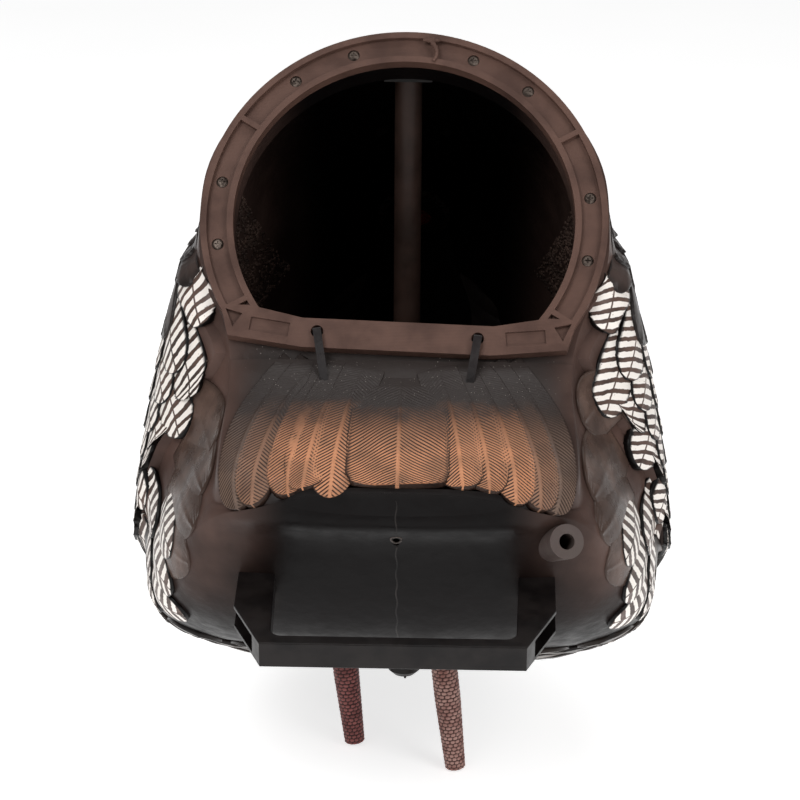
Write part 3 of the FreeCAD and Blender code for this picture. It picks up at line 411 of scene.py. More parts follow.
class Plumage:
    """Closed overlapping feathers gathered into one mesh."""

    def __init__(self):
        self.points, self.faces = [], []
        self.feather, self.ridge, self.fade, self.tone = [], [], [], []
        self.count = 0

    def add(self, strip, length, half, outline, relief, grid, tone, sink=0.0012):
        """Lays one feather on a strip.

        outline(s, t) is the half width, from 0 to 1, at each share s of the length.
        relief(s, t, u, v) is the height of the top and a value for the material.
        """
        places, normals = strip
        rows, columns = grid
        s = np.linspace(0.0, 1.0, rows)[:, None] * np.ones(columns)[None, :]
        t = np.ones(rows)[:, None] * np.linspace(-1.0, 1.0, columns)[None, :]
        reach = outline(s, t)
        u, v = t * reach * half, s * length
        column = (t * reach + 1.0) / 2.0 * (places.shape[1] - 1)
        row = s * (places.shape[0] - 1)
        base, facing = sample(places, row, column), sample(normals, row, column)
        height, ridge = relief(s, t, u, v)
        top = base + facing * height[..., None]
        low = base - facing * sink
        edge = [(i, 0) for i in range(rows)] + [(i, columns - 1) for i in range(rows)]
        edge += [(0, j) for j in range(1, columns - 1)] + [(rows - 1, j) for j in range(1, columns - 1)]
        first = self.count
        index = {}
        for k, (i, j) in enumerate(edge):
            index[i, j] = first + rows * columns + k
        at = lambda i, j: first + i * columns + j
        for i in range(rows - 1):
            for j in range(columns - 1):
                self.faces.append((at(i, j), at(i, j + 1), at(i + 1, j + 1), at(i + 1, j)))
        last = columns - 1
        for i in range(rows - 1):
            self.faces.append((at(i, 0), at(i + 1, 0), index[i + 1, 0], index[i, 0]))
            self.faces.append((at(i + 1, last), at(i, last), index[i, last], index[i + 1, last]))
            if 0 < i < rows - 2:
                self.faces.append((index[i, 0], index[i + 1, 0], index[i + 1, last], index[i, last]))
        for j in range(columns - 1):
            self.faces.append((at(0, j + 1), at(0, j), index[0, j], index[0, j + 1]))
            self.faces.append((at(rows - 1, j), at(rows - 1, j + 1),
                               index[rows - 1, j + 1], index[rows - 1, j]))
        self.faces.append(tuple([index[0, j] for j in range(columns)]
                                + [index[1, last], index[1, 0]])[::-1])
        self.faces.append(tuple([index[rows - 1, j] for j in range(columns)]
                                + [index[rows - 2, last], index[rows - 2, 0]]))
        rim_rows = np.array([i for i, _ in edge])
        rim_columns = np.array([j for _, j in edge])
        self.points.append(np.concatenate([top.reshape(-1, 3), low[rim_rows, rim_columns]]))
        for store, values in ((self.ridge, ridge), (self.fade, s), (self.tone, np.full_like(s, tone))):
            store.append(np.concatenate([values.ravel(), values[rim_rows, rim_columns]]))
        flat = np.stack([u, v, np.abs(t)], axis=2)
        self.feather.append(np.concatenate([flat.reshape(-1, 3), flat[rim_rows, rim_columns]]))
        self.count += rows * columns + len(edge)

    def build(self, name, material, body, slot):
        mesh = bpy.data.meshes.new(name)
        mesh.from_pydata(np.concatenate(self.points).tolist(), [], self.faces)
        for label, values in (("ridge", self.ridge), ("fade", self.fade), ("tone", self.tone)):
            layer = mesh.attributes.new(label, "FLOAT", "POINT")
            layer.data.foreach_set("value", np.concatenate(values).astype(np.float32))
        layer = mesh.attributes.new("feather", "FLOAT_VECTOR", "POINT")
        layer.data.foreach_set("vector", np.concatenate(self.feather).astype(np.float32).ravel())
        return settle(mesh, name, material, body)


def settle(mesh, name, material, body):
    """Makes a mesh into a piece of the object that rides on a body."""
    mesh.validate()
    mesh.polygons.foreach_set("use_smooth", [True] * len(mesh.polygons))
    mesh.materials.append(material)
    piece = bpy.data.objects.new(name, mesh)
    bpy.context.scene.collection.objects.link(piece)
    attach(piece, body)
    return piece


# ---------------------------------------------------------------- bronze coverts on the shelf

SHELF_TOP_Y = -0.1295
FAN_FIRST = 0.0355
FAN_STEP = 0.0158
FAN_ROOT_HALF = 0.046
COVERT_PAIRS = 5
BARB_PITCH = 2.3 * MM
EDGE_ROOM = 1.05


def tip_outline(square, shoulder):
    """A blade with straight sides and an end rounded from shoulder on: the higher square, the blunter."""
    def outline(s, t):
        end = np.clip((s - shoulder) / (1.0 - shoulder), 0.0, 1.0)
        body = 0.86 + 0.14 * np.clip(s / 0.5, 0.0, 1.0)
        return np.maximum(body * (1.0 - end ** square) ** 0.5, 0.04)
    return outline


def fringed(square, shoulder, seed):
    """A blade whose rounded end is cut into short barb points."""
    blade = tip_outline(square, shoulder)

    def outline(s, t):
        ease = np.clip((s - shoulder + 0.04) / 0.06, 0.0, 1.0)
        points = np.abs(np.sin(t * 23.0 + seed)) * 0.55 + np.abs(np.sin(s * 210.0 + 1.7 * seed)) * 0.45
        return np.maximum(blade(s, t) * (1.0 - 0.10 * points * ease), 0.04)
    return outline


def barb_relief(order, half, depth, crown, thick, slope=0.9):
    """Barbs run out from the shaft towards the tip, at an even pitch, over a gently crowned vane."""
    def relief(s, t, u, v):
        phase = (v - np.abs(u) * slope) / BARB_PITCH
        phase = phase + 0.35 * np.sin(v / 0.0061 + order) + 0.25 * np.sin(u / 0.0043 + 2.0 * order)
        wave = 0.5 + 0.5 * np.sin(2.0 * math.pi * phase)
        rise = np.clip(s / 0.35, 0.0, 1.0)
        shaft = np.exp(-(u / 0.0009) ** 2)
        shape = thick * rise + crown * (1.0 - (u / half) ** 2) * rise
        root = 0.0009 * np.clip(s / 0.12, 0.0, 1.0) - 0.0006
        height = root + shape + depth * wave * rise + 0.0007 * shaft * rise
        return height, np.maximum(wave, shaft)
    return relief


def lay_coverts(material):
    normal = Vector((0.0, -0.45, 0.89))
    for side in (-1, 1):
        for k in range(COVERT_PAIRS, 0, -1):
            share = k / COVERT_PAIRS
            tip_x = FAN_FIRST + FAN_STEP * (k - 1)
            root_x = 0.010 + FAN_ROOT_HALF * share
            length = 0.096 + 0.012 * share
            half = 0.0125
            start = Vector((side * root_x, SHELF_TOP_Y - 0.006, 0.0))
            spot, facing = drop(start, Vector((0.0, 0.0, -1.0)))
            outward = Vector((side * (tip_x - root_x) * 1.9 / length, -1.0, -0.45))
            straight = Vector((side * (tip_x - root_x) * 0.15 / length, -1.0, -0.45))
            strip = patch(spot, facing, outward, straight, length, half * EDGE_ROOM,
                          rows=21, columns=9, passes=6)
            plumage = Plumage()
            relief = barb_relief(k * side, half, 0.00065, 0.0010, 0.0012 + 0.0007 * (COVERT_PAIRS - k))
            tone = 1.0 if k < COVERT_PAIRS - 1 else (0.30 if k == COVERT_PAIRS - 1 else 0.0)
            plumage.add(strip, length, half, fringed(2.6, 0.80, k * side), relief, (190, 52), tone)
            word = "left" if side < 0 else "right"
            plumage.build(f"covert_{word}_{k}", material, "shell", "body_plastic")
    spot, facing = drop(Vector((0.0, SHELF_TOP_Y - 0.012, 0.0)), Vector((0.0, 0.0, -1.0)))
    down = Vector((0.0, -1.0, -0.5))
    length, half = 0.0905, 0.0265
    strip = patch(spot, facing, down, down, length, half * EDGE_ROOM, rows=21, columns=11, passes=6)
    plumage = Plumage()
    relief = barb_relief(0, half, 0.00065, 0.0012, 0.0050, slope=0.75)
    plumage.add(strip, length, half, fringed(5.0, 0.90, 0.5), relief, (190, 104), 1.0)
    plumage.build("covert_centre", material, "shell", "body_plastic")


# ---------------------------------------------------------------- barred wings and smooth plumes

SEAT = next(m for m in frame["record"]["mounts"] if m["name"] == "tail_seat")
SEAT_PLACE, SEAT_OUT = Vector(SEAT["pos_m"]), Vector(SEAT["axis"])
SEAT_UP = Vector((1.0, 0.0, 0.0)).cross(SEAT_OUT) * -1.0
WING_REAR = ((-0.136, 0.264), (-0.133, 0.235), (-0.127, 0.206),
             (-0.113, 0.165), (-0.096, 0.126), (-0.070, 0.106))
WING_ROWS = 9
WING_COLUMNS = 10
BAR_PERIOD = 6.6 * MM


def along_line(points, share):
    """A place on a line of points, by share of its length."""
    steps = [math.dist(a, b) for a, b in zip(points, points[1:])]
    left = share * sum(steps)
    for (a, b), step in zip(zip(points, points[1:]), steps):
        if left <= step:
            return tuple(p + (q - p) * left / step for p, q in zip(a, b))
        left -= step
    a, b = points[-2:]
    return tuple(q + (q - p) * left / steps[-1] for p, q in zip(a, b))


def flank_spot(side, y, z):
    """The body's outside at that side, seen square from the side."""
    return drop(Vector((0.0, y, z)), Vector((-side, 0.0, 0.0)))


def behind_seat(place):
    """How far a place is behind the plane of the tail frame's rims."""
    return (SEAT_PLACE - place).dot(SEAT_OUT)


def frayed(square, shoulder, seed, depth=0.16):
    """A rounded blade whose edge is split into short points near its tip."""
    blade = tip_outline(square, shoulder)

    def outline(s, t):
        split = np.abs(np.sin(s * 61.0 + seed)) * 0.6 + np.abs(np.sin(s * 97.0 + 2.3 * seed)) * 0.4
        ease = np.clip((s - 0.45) / 0.4, 0.0, 1.0)
        return np.maximum(blade(s, t) * (1.0 - depth * split * ease), 0.04)
    return outline


def vane_relief(half, thick, crown, groove, pitch, lift=0.0):
    """A crowned vane with a raised shaft and fine barb grooves, and closeness to its edge."""
    def relief(s, t, u, v):
        rise = np.clip(s / 0.9, 0.0, 1.0)
        barb = np.sin(2.0 * math.pi * (v - np.abs(u) * 0.9) / pitch)
        shaft = np.exp(-(u / 0.0009) ** 2)
        arch = np.sin(math.pi * np.clip(s * 0.9 + 0.1, 0, 1))
        height = 0.0002 + thick * rise + crown * (1.0 - t ** 2) * arch
        height = height + groove * barb * rise + 0.0004 * shaft * rise + lift * s ** 3
        edge = np.maximum(np.abs(t), np.clip((s - 0.86) / 0.14, 0.0, 1.0))
        return height, edge
    return relief


def lay_wing(side, barred, plain):
    """Overlapping columns of feathers whose tips step forward from the wing's rear edge."""
    word = "left" if side < 0 else "right"
    white, dark = Plumage(), Plumage()
    for column in range(WING_COLUMNS):
        for row in range(WING_ROWS + (column > 1)):
            share = (row + 0.5 * (column % 2)) / WING_ROWS
            y, z = along_line(WING_REAR, share)
            y += 0.0225 * column - 0.004
            z += 0.0035 * column - 0.010 * share * column * 0.25
            if z > 0.272 + 0.0016 * column and y < -0.06:
                continue
            slope = math.radians(48.0 - 16.0 * share)
            heading = Vector((0.0, -math.cos(slope), -math.sin(slope)))
            length, half = 0.047 + 0.006 * share, 0.0145
            start = Vector((0.0, y, z)) - heading * (length - 0.004)
            spot, facing = flank_spot(side, start.y, start.z)
            if behind_seat(spot) < 0.012:
                length *= 0.6
                start = Vector((0.0, y, z)) - heading * (length - 0.004)
                spot, facing = flank_spot(side, start.y, start.z)
                if behind_seat(spot) < 0.010:
                    continue
            bend = heading + Vector((-side * 0.25, 0.0, -0.05))
            strip = patch(spot, facing, heading, bend, length, half * EDGE_ROOM, rows=9, columns=5, passes=1)
            seed = float(rng.uniform(0.0, 6.0))
            shoulder = z > 0.268 - 0.75 * (y + 0.12)
            target = dark if shoulder else white
            relief = vane_relief(half, 0.0034, 0.0010, 0.00010, 0.0026, 0.0008)
            blade = frayed(2.2, 0.62, seed)
            target.add(strip, length, half, blade, relief, (34, 18), float(rng.uniform()))
    white.build(f"wing_barred_{word}", barred, "shell", "body_plastic")
    dark.build(f"wing_shoulder_{word}", plain, "shell", "body_plastic")


def lay_low_barred(side, barred):
    """Broader feathers with wide curved bars, low on the flank behind and under the wing."""
    word = "left" if side < 0 else "right"
    plumage = Plumage()
    for column in range(5):
        for row in range(3 + (column > 1)):
            y = -0.172 + 0.036 * column + 0.002 * row
            z = 0.150 - 0.024 * row - 0.004 * column
            if column > 1:
                z -= 0.022
            heading = Vector((0.0, -0.90, -0.42))
            length, half = 0.050, 0.0155
            start = Vector((0.0, y, z)) - heading * (length - 0.006)
            spot, facing = flank_spot(side, start.y, start.z)
            bend = Vector((-side * 0.35, -0.85, -0.30))
            strip = patch(spot, facing, heading, bend, length, half * EDGE_ROOM, rows=9, columns=7, passes=1)
            seed = float(rng.uniform(0.0, 6.0))
            relief = vane_relief(half, 0.0018, 0.0016, 0.00012, 0.0030, 0.0006)
            blade = frayed(2.0, 0.55, seed, 0.10)
            plumage.add(strip, length, half, blade, relief, (34, 22), float(rng.uniform()))
    plumage.build(f"flank_barred_{word}", barred, "shell", "body_plastic")


def lay_flank_lobes(side, material):
    """Broad smooth lobes between the wing's rear edge and the coverts, and over the rear corner."""
    word = "left" if side < 0 else "right"
    plumage = Plumage()
    for column, (y, z, fall, half, length) in enumerate((
            (-0.190, 0.172, 0.20, 0.020, 0.070), (-0.178, 0.190, 0.22, 0.022, 0.064),
            (-0.166, 0.208, 0.24, 0.020, 0.056), (-0.150, 0.224, 0.26, 0.018, 0.046),
            (-0.192, 0.150, 0.16, 0.020, 0.060))):
        heading = Vector((0.0, -1.0, -fall))
        start = Vector((0.0, y, z)) - heading.normalized() * length * 0.9
        spot, facing = flank_spot(side, start.y, start.z)
        bend = Vector((-side * 0.55, -1.0, -fall))
        strip = patch(spot, facing, heading, bend, length, half * EDGE_ROOM, rows=11, columns=7, passes=2)
        relief = vane_relief(half, 0.0012, 0.0016, 0.00008, 0.0026)
        plumage.add(strip, length, half, tip_outline(2.0, 0.5), relief, (40, 26), 0.1 * column)
    plumage.build(f"flank_lobes_{word}", material, "shell", "body_plastic")


def around(y, turn, middle):
    """The body's outside at turn degrees from straight up, about a level line at height middle."""
    out = Vector((math.sin(math.radians(turn)), 0.0, math.cos(math.radians(turn))))
    return drop(Vector((0.0, y, middle)), -out)


def covered(place):
    """True where another part, a wing or the fitted hardware takes the place of plain plumage."""
    x, y, z = abs(place.x), place.y, place.z
    if behind_seat(place) < 0.016:
        return True
    if y < -0.118 and z > 0.10:
        return True
    if y < -0.15:
        return True
    if x > 0.110 and -0.150 < y < 0.118 and 0.125 < z < 0.272:
        return True
    if z < 0.075 and x < 0.062 and -0.075 < y < 0.045:
        return True
    neck = Vector((0.0, NECK.y, NECK.z))
    if (place - neck).length < 0.040:
        return True
    return z < 0.215 and y > 0.190 and x < 0.016


def lay_plumes(material, name, low_turn, high_turn):
    """Rings of smooth overlapping feathers over back, breast and belly, tips to the rear."""
    plumage = Plumage()
    middle = 0.16
    for ring in range(15):
        y = -0.132 + 0.0235 * ring
        edge, _ = around(y, 90.0, middle)
        top, _ = around(y, 0.0, middle)
        reach = (abs(edge.x) + abs(top.z - middle)) / 2.0
        count = max(int(2.0 * math.pi * reach / 0.029), 9)
        for k in range(count):
            turn = 360.0 * (k + 0.5 * (ring % 2)) / count
            turn = (turn + 180.0) % 360.0 - 180.0
            if not low_turn <= abs(turn) < high_turn:
                continue
            length, half = 0.046, 0.0175
            tip, _ = around(y, turn, middle)
            heading = Vector((0.0, -1.0, -0.35 * (abs(turn) > 25.0) - 0.25 * (y > 0.12)))
            spot, facing = around(min(y + length * 0.8, SHELL_HIGH.y - 0.006), turn, middle)
            if covered(tip) or covered(spot):
                continue
            strip = patch(spot, facing, heading, heading, length, half * EDGE_ROOM,
                          rows=8, columns=5, passes=1)
            if min(behind_seat(Vector(p)) for p in strip[0].reshape(-1, 3)) < 0.010:
                continue
            relief = vane_relief(half, 0.0022, 0.0015, 0.00008, 0.0030, 0.0004)
            blade = tip_outline(2.1, 0.5)
            plumage.add(strip, length, half, blade, relief, (24, 14), float(rng.uniform()))
    plumage.build(name, material, "shell", "body_plastic")


def lay_plumage():
    barred = barred_material("wing_white_bars", BAR_PERIOD, -0.38, 0.12, 0.50, 1.0)
    broad = barred_material("flank_white_bars", 8.6 * MM, -0.12, 0.30, 0.10, 1.0)
    back = plume_material("plume_dark", linear(70, 58, 54),
                          linear(44, 37, 35), linear(28, 24, 23), (0.30, 0.44))
    breast = plume_material("plume_bronze_black", linear(78, 60, 48),
                            linear(38, 31, 28), linear(20, 17, 17), (0.26, 0.4))
    # The lobes' lighter brown is raised to the brightness of their glossy highlights: part the brown
    # plastic, part painted sheen.
    lobe = plume_material("flank_gloss_brown", linear(96, 76, 67),
                          linear(64, 50, 44), linear(66, 52, 46), (0.22, 0.36))
    lay_coverts(covert_material())
    for side in (-1, 1):
        lay_flank_lobes(side, lobe)
        lay_wing(side, barred, back)
        lay_low_barred(side, broad)
    lay_plumes(back, "plumes_back", 0.0, 62.0)
    lay_plumes(breast, "plumes_breast", 62.0, 150.0)


# ---------------------------------------------------------------- small parts made in full detail

def tube_faces(rings, sides):
    """The faces of a closed tube whose points are listed ring by ring."""
    faces = []
    for i in range(rings - 1):
        for k in range(sides):
            n = (k + 1) % sides
            faces.append((i * sides + k, i * sides + n, (i + 1) * sides + n, (i + 1) * sides + k))
    faces.append(tuple(range(sides))[::-1])
    faces.append(tuple((rings - 1) * sides + k for k in range(sides)))
    return faces


def tube_along(path, radius, sides=14, flat=1.0, across=None):
    """Points and faces of a closed tube along a path. radius is one number, or one for each place."""
    count = len(path)
    radii = radius if hasattr(radius, "__len__") else [radius] * count
    points = []
    hint = across or Vector((1.0, 0.0, 0.0))
    for i, spot in enumerate(path):
        run = (path[min(i + 1, count - 1)] - path[max(i - 1, 0)]).normalized()
        first = (hint - run * hint.dot(run)).normalized()
        second = run.cross(first)
        hint = first
        for k in range(sides):
            a = 2.0 * math.pi * k / sides
            points.append(spot + (first * math.cos(a) + second * math.sin(a) * flat) * radii[i])
    return points, tube_faces(count, sides)


def gather(name, shapes, material, body):
    """One piece from several closed shapes, each a pair of points and faces."""
    points, faces = [], []
    for own_points, own_faces in shapes:
        first = len(points)
        points += [tuple(p) for p in own_points]
        faces += [tuple(first + k for k in face) for face in own_faces]
    mesh = bpy.data.meshes.new(name)
    mesh.from_pydata(points, [], faces)
    return settle(mesh, name, material, body)


def grain(centre, facing, radius, height):
    """A low rounded grain that stands on a surface, closed below it."""
    first = facing.orthogonal().normalized()
    second = facing.cross(first)
    points = [centre + facing * height]
    for level, share in ((0.62, 0.62), (0.0, 1.0)):
        for k in range(6):
            a = math.pi * k / 3.0 + 0.5 * share
            rim = (first * math.cos(a) + second * math.sin(a)) * radius * share
            points.append(centre + facing * height * level + rim)
    points.append(centre - facing * height * 0.5)
    faces = [(0, 1 + k, 1 + (k + 1) % 6) for k in range(6)]
    faces += [(1 + k, 7 + k, 7 + (k + 1) % 6, 1 + (k + 1) % 6) for k in range(6)]
    faces += [(13, 7 + (k + 1) % 6, 7 + k) for k in range(6)]
    return points, faces


RIM_RADIUS = 0.1127
WALL_GRAINS = 5200


def stipple_inner_walls(material):
    """The rough granular skin on the inside of the side walls, ahead of the tail opening."""
    shapes = []
    seat = SEAT_PLACE - SEAT_OUT * 0.008
    middle = Vector((0.0, seat.y, seat.z)) - SEAT_UP * RIM_RADIUS
    for side in (-1, 1):
        for _ in range(WALL_GRAINS):
            depth = rng.uniform(0.018, 0.235)
            rise = rng.uniform(-0.075, 0.060)
            start = middle - SEAT_OUT * depth + SEAT_UP * rise
            hit, facing, _, _ = surface.ray_cast(start, Vector((side, 0.0, 0.0)))
            if hit is None or abs(hit.x) > 0.150:
                continue
            size = rng.uniform(0.0007, 0.0017)
            shapes.append(grain(hit, facing, size, size * 0.7))
    gather("inner_wall_stipple", shapes, material, "shell")


def leg_axis_of(node):
    """Foot centre, top centre and foot radius of a leg, from its own vertices."""
    points = np.array([v.co for v in frame["nodes"][node].data.vertices])
    low = points[points[:, 2] < points[:, 2].min() + 0.004].mean(axis=0)
    high = points[points[:, 2] > points[:, 2].max() - 0.003].mean(axis=0)
    return Vector(low), Vector(high)


def make_scaly_leg(node, material, seed):
    """The leg again at the same size, with its skin raised in small rows of scales."""
    low, high = leg_axis_of(node)
    axis = (high - low).normalized()
    box_low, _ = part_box(node)
    low = low - axis * max((low.z - box_low.z) - 0.0006, 0.0)
    first = axis.orthogonal().normalized()
    second = axis.cross(first)
    rings, sides = 170, 72
    length = (high - low).length
    thin, thick = 0.0062, 0.0080
    h = np.linspace(0.0, 1.0, rings)[:, None] * np.ones(sides)[None, :]
    a = np.ones(rings)[:, None] * np.linspace(0.0, 2.0 * math.pi, sides, endpoint=False)[None, :]
    radius = thin + (thick - thin) * np.clip(h / 0.62, 0.0, 1.0)
    ends = np.clip(h * length / 0.0016, 0.0, 1.0)
    radius = radius * (0.72 + 0.28 * np.sqrt(1.0 - (1.0 - ends) ** 2))
    row = h * length / 0.0024
    scales_around = 13
    stagger = 0.5 * (np.floor(row) % 2) + 0.25 * np.sin(row * 0.7 + seed)
    column = a / (2.0 * math.pi) * scales_around + stagger
    cell = np.abs(np.sin(math.pi * row)) ** 0.5 * np.abs(np.sin(math.pi * column)) ** 0.5
    radius = radius - 0.0004 + 0.0006 * cell
    points = []
    for i in range(rings):
        centre = low + axis * (h[i, 0] * length)
        for k in range(sides):
            way = first * math.cos(a[i, k]) + second * math.sin(a[i, k])
            points.append(centre + way * radius[i, k])
    mesh = bpy.data.meshes.new(node + "_scaly")
    mesh.from_pydata([tuple(p) for p in points], [], tube_faces(rings, sides))
    layer = mesh.attributes.new("ridge", "FLOAT", "POINT")
    layer.data.foreach_set("value", cell.ravel().astype(np.float32))
    piece = settle(mesh, node + "_scaly", material, "shell")
    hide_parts(node)


def scaly_material(name, light, dark, spot):
    """Leg skin: paint on the scales and a dark colour in the gaps between them, part the legs' dark markings
    and part painted shade in the recesses, with worn patches.
    """
    g = Graph(name)
    ridge = g.attribute("ridge").outputs["Fac"]
    wash = g.noise(120.0, 4.0)
    skin = g.mix(g.ramp(wash, 0.35, 0.65), light, dark)
    # The spot colour fills the gaps between scales: part dark markings, part painted shade in the recesses.
    colour = g.mix(g.ramp(ridge, 0.30, 0.75), spot, skin)
    return g.finish(colour, g.ramp(wash, 0.3, 0.7, 0.42, 0.6), g.bump(g.noise(900.0, 3.0), 0.00012, 0.7))


CARUNCLES = 900
COLLAR_GAP = 0.004


def make_caruncles(material):
    """The fleshy beads that crowd the lower face and neck, thinning out toward the eyes."""
    skin = tree_of("head")
    collar_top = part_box("neck_collar")[1].z
    low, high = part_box("head")
    shapes = []
    for _ in range(CARUNCLES):
        turn = rng.uniform(0.0, 2.0 * math.pi)
        z = collar_top + COLLAR_GAP + (high.z - collar_top - 0.024) * rng.random() ** 1.5
        middle = Vector((0.0, 0.5 * (low.y + high.y), z))
        way = Vector((math.sin(turn), math.cos(turn), rng.uniform(-0.2, 0.2))).normalized()
        hit, facing, _, _ = skin.ray_cast(middle + way * 0.12, -way)
        if hit is None or hit.z < collar_top + COLLAR_GAP or hit.z > high.z - 0.018:
            continue
        size = rng.uniform(0.0006, 0.0017)
        shapes.append(grain(hit, facing, size, size * 0.65))
    gather("head_caruncles", shapes, material, "head")


def make_legs():
    # The third colour of each leg is its gap colour: part dark markings, part painted shade between the
    # scales.
    red = scaly_material("leg_red_scales", linear(142, 84, 80), linear(112, 64, 62), linear(48, 26, 26))
    pink = scaly_material("leg_pink_scales", linear(176, 138, 128), linear(134, 92, 84),
                          linear(66, 40, 36))
    make_scaly_leg("leg_left", red, 0.4)
    make_scaly_leg("leg_right", pink, 2.1)


def make_weld_bead(material):
    """The lump of flash and its curled tail left at the top of the tail frame."""
    right = Vector((1.0, 0.0, 0.0))
    place = SEAT_PLACE + right * 0.0107 - SEAT_UP * 0.004
    shapes = []
    steps = 22
    path = []
    for i in range(steps):
        share = i / (steps - 1)
        curl = right * (0.0042 * math.sin(2.6 * share) - 0.002) + SEAT_UP * (0.001 - 0.0135 * share)
        path.append(place + curl + SEAT_OUT * 0.0008)
    radii = [0.0016 * (1.0 - 0.55 * i / (steps - 1)) * (1.0 + 0.22 * math.sin(i * 1.9))
             for i in range(steps)]
    shapes.append(tube_along(path, radii, 12, 0.7))
    lumps = 18
    side = [place + SEAT_UP * 0.0006 + right * (-0.006 + 0.0006 * i) + SEAT_OUT * 0.0006
            for i in range(lumps)]
    radii = [0.0015 * math.sin(math.pi * (i + 1) / (lumps + 1.0)) ** 0.6 * (1.0 + 0.2 * math.sin(i * 1.4))
             for i in range(lumps)]
    shapes.append(tube_along(side, radii, 12, 0.8, SEAT_UP))
    gather("frame_flash_bead", shapes, material, "shell")


def make_seam(material):
    """The mould's parting line down the middle of the rump, broken where it crosses the vent hole."""
    shapes = []
    path = []
    for i in range(60):
        z = 0.199 - (0.199 - 0.100) * i / 59.0
        hit, facing = drop(Vector((0.0004 * math.sin(i * 0.8), 0.0, z)), Vector((0.0, 1.0, 0.0)))
        if abs(z - VENT.z) < 0.004:
            if len(path) > 3:
                shapes.append(tube_along(path, 0.00045, 8, 0.8))
            path = []
            continue
        path.append(hit - facing * 0.0001)
    shapes.append(tube_along(path, 0.00045, 8, 0.8))
    gather("rump_seam", shapes, material, "shell")


def make_vent_rim(material):
    hit, facing = drop(Vector((0.0045, 0.0, VENT.z)), Vector((0.0, 1.0, 0.0)))
    first = Vector((1.0, 0.0, 0.0))
    second = facing.cross(first).normalized()
    centre = Vector((0.0, hit.y, VENT.z))
    path = [centre + (first * math.cos(a) + second * math.sin(a)) * (0.0029 + 0.0002 * math.sin(3 * a))
            for a in np.linspace(0.35, 2.0 * math.pi - 0.1, 40)]
    gather("vent_rim", [tube_along(path, 0.00055, 10)], material, "shell")


def make_socket_nub(material):
    """The moulding gate left on the rear lip of the stake socket."""
    low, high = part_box("stake_socket")
    place = Vector((0.0008, 0.0, low.z)) + Vector((0.0, -0.0060, 0.0004))
    path = [place + Vector((0.0, 0.0, 0.0008)), place, place - Vector((0.0, 0.0, 0.0016))]
    nub = tube_along(path, [0.0011, 0.0010, 0.0006], 12)
    gather("socket_gate_nub", [nub], material, "shell")


# ---------------------------------------------------------------- camera, light and floor

def aim(thing, target):
    thing.rotation_mode = "QUATERNION"
    thing.rotation_quaternion = (target - thing.location).to_track_quat("-Z", "Y")


def make_camera():
    """The viewing angle: behind the bird, a little above, and turned a little clockwise."""
    target = Vector((-0.002, -0.070, 0.2047))
    azimuth, elevation, roll = math.radians(1.43), math.radians(18.9), math.radians(0.41)
    distance = 1.6
    away = Vector((math.sin(azimuth) * math.cos(elevation),
                   -math.cos(azimuth) * math.cos(elevation), math.sin(elevation)))
    data = bpy.data.cameras.new("view")
    data.sensor_width, data.lens = 36.0, 124.1
    data.clip_start, data.clip_end = 0.05, 60.0
    camera = bpy.data.objects.new("view", data)
    bpy.context.scene.collection.objects.link(camera)
    camera.location = target + away * distance
    aim(camera, target)
    camera.rotation_quaternion = camera.rotation_quaternion @ Quaternion((0.0, 0.0, 1.0), roll)
    bpy.context.scene.camera = camera
    return target


def softbox(name, place, size, power, target):
    data = bpy.data.lights.new(name, "AREA")
    data.shape, data.size, data.size_y = "RECTANGLE", size[0], size[1]
    data.energy = power
    lamp = bpy.data.objects.new(name, data)
    bpy.context.scene.collection.objects.link(lamp)
    lamp.location = place
    aim(lamp, target)


def make_studio():
    target = make_camera()
    scene = bpy.context.scene
    scene.view_settings.view_transform = "Standard"
    world = bpy.data.worlds.new("studio")
    world.use_nodes = True
    world.node_tree.nodes["Background"].inputs["Color"].default_value = (1.0, 1.0, 1.0, 1.0)
    world.node_tree.nodes["Background"].inputs["Strength"].default_value = 0.20
    scene.world = world
    softbox("key", Vector((-0.9, -1.5, 1.7)), (1.0, 0.8), 22.0, target)
    softbox("fill", Vector((1.2, -1.2, 1.2)), (0.9, 0.9), 12.0, target)
    softbox("top", Vector((0.0, 0.2, 1.9)), (1.4, 1.0), 10.0, target)
    g = Graph("floor_paper")
    paper = g.mix(g.ramp(g.noise(3.0, 2.0), 0.3, 0.7), (0.90, 0.90, 0.90), (0.93, 0.93, 0.93))
    shader = g.add("ShaderNodeBsdfPrincipled", {"Base Color": paper, "Roughness": 0.9})
    shader.inputs["Emission Color"].default_value = (1.0, 1.0, 1.0, 1.0)
    shader.inputs["Emission Strength"].default_value = 0.70
    out = g.add("ShaderNodeOutputMaterial")
    g.tree.links.new(shader.outputs[0], out.inputs["Surface"])
    mesh = bpy.data.meshes.new("floor")
    half, level = 14.0, CAD_BOX[0][2] - 0.0005
    corners = [(-half, -half, level), (half, -half, level), (half, half, level), (-half, half, level)]
    mesh.from_pydata(corners, [], [(0, 1, 2, 3)])
    mesh.materials.append(g.material)
    floor = bpy.data.objects.new("floor", mesh)
    scene.collection.objects.link(floor)


# ---------------------------------------------------------------- finishes of the CAD parts

def paint_node(name, material):
    for slot in frame["nodes"][name].material_slots:
        slot.material = material


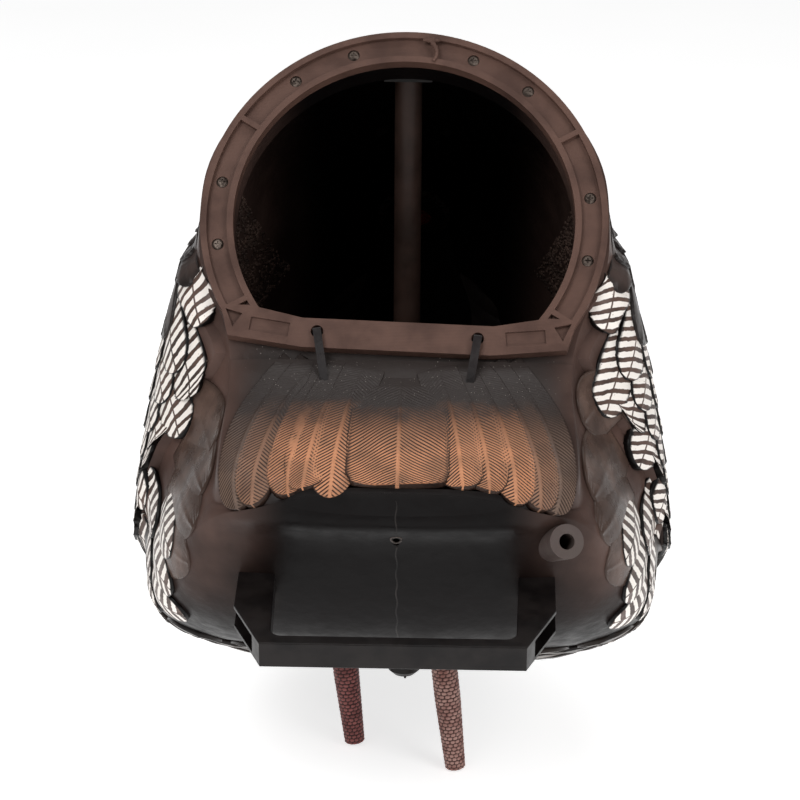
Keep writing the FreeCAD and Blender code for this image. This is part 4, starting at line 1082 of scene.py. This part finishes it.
def paint_parts(moulding, skin):
    steel = steel_material()
    handle = satin_material("handle_satin_black", SATIN_BLACK, linear(30, 26, 25), (0.30, 0.44))
    hidden = satin_material("inner_fitting_black", SATIN_BLACK, linear(26, 24, 23))
    tie = satin_material("tie_black_nylon", TIE_BLACK, linear(44, 40, 40), (0.22, 0.36), 2400.0, 0.00003)
    tube = satin_material("tube_grey_brown", TUBE_GREY, linear(78, 68, 64), (0.34, 0.48))
    post = satin_material("post_brown", linear(46, 33, 28), linear(34, 24, 20), (0.40, 0.55))
    paint_node("body_shell", shell_material())
    paint_node("tail_frame", moulding)
    for name in ("frame_screws", "handle_bolts", "socket_screws", "leg_bolts", "leg_nuts", "leg_washers",
                 "collar_snap_ring", "beard_pin"):
        paint_node(name, steel)
    for name in ("carry_handle", "stake_socket"):
        paint_node(name, handle)
    for name in ("handle_backing_plates", "guide_tube_nut", "post_cap", "neck_collar", "beard_clip"):
        paint_node(name, hidden)
    for name in ("cable_tie_left", "cable_tie_right"):
        paint_node(name, tie)
    paint_node("guide_tube", tube)
    paint_node("stake_post", post)
    paint_node("head", skin)
    snood = satin_material("snood_red", linear(150, 46, 40), linear(116, 64, 66),
                           (0.36, 0.5), 700.0, 0.0002)
    paint_node("snood", snood)
    eye = eye_material()
    paint_node("eye_left", eye)
    paint_node("eye_right", eye)
    paint_node("beard", beard_material())


def make_details(moulding, skin):
    wall = satin_material("inner_wall_brown", linear(86, 68, 60), linear(48, 38, 34),
                          (0.45, 0.6), 600.0, 0.0002)
    dark = satin_material("rump_moulding_black", SHELL_DARK, linear(38, 33, 31), (0.34, 0.5))
    pale = satin_material("vent_rim_grey", linear(84, 76, 72), linear(60, 54, 51), (0.4, 0.5))
    stipple_inner_walls(wall)
    make_legs()
    make_weld_bead(moulding)
    make_seam(dark)
    make_vent_rim(pale)
    make_socket_nub(dark)
    make_caruncles(skin)


make_studio()
brown_moulding = frame_material()
head_skin = head_material()
paint_parts(brown_moulding, head_skin)
lay_plumage()
make_details(brown_moulding, head_skin)
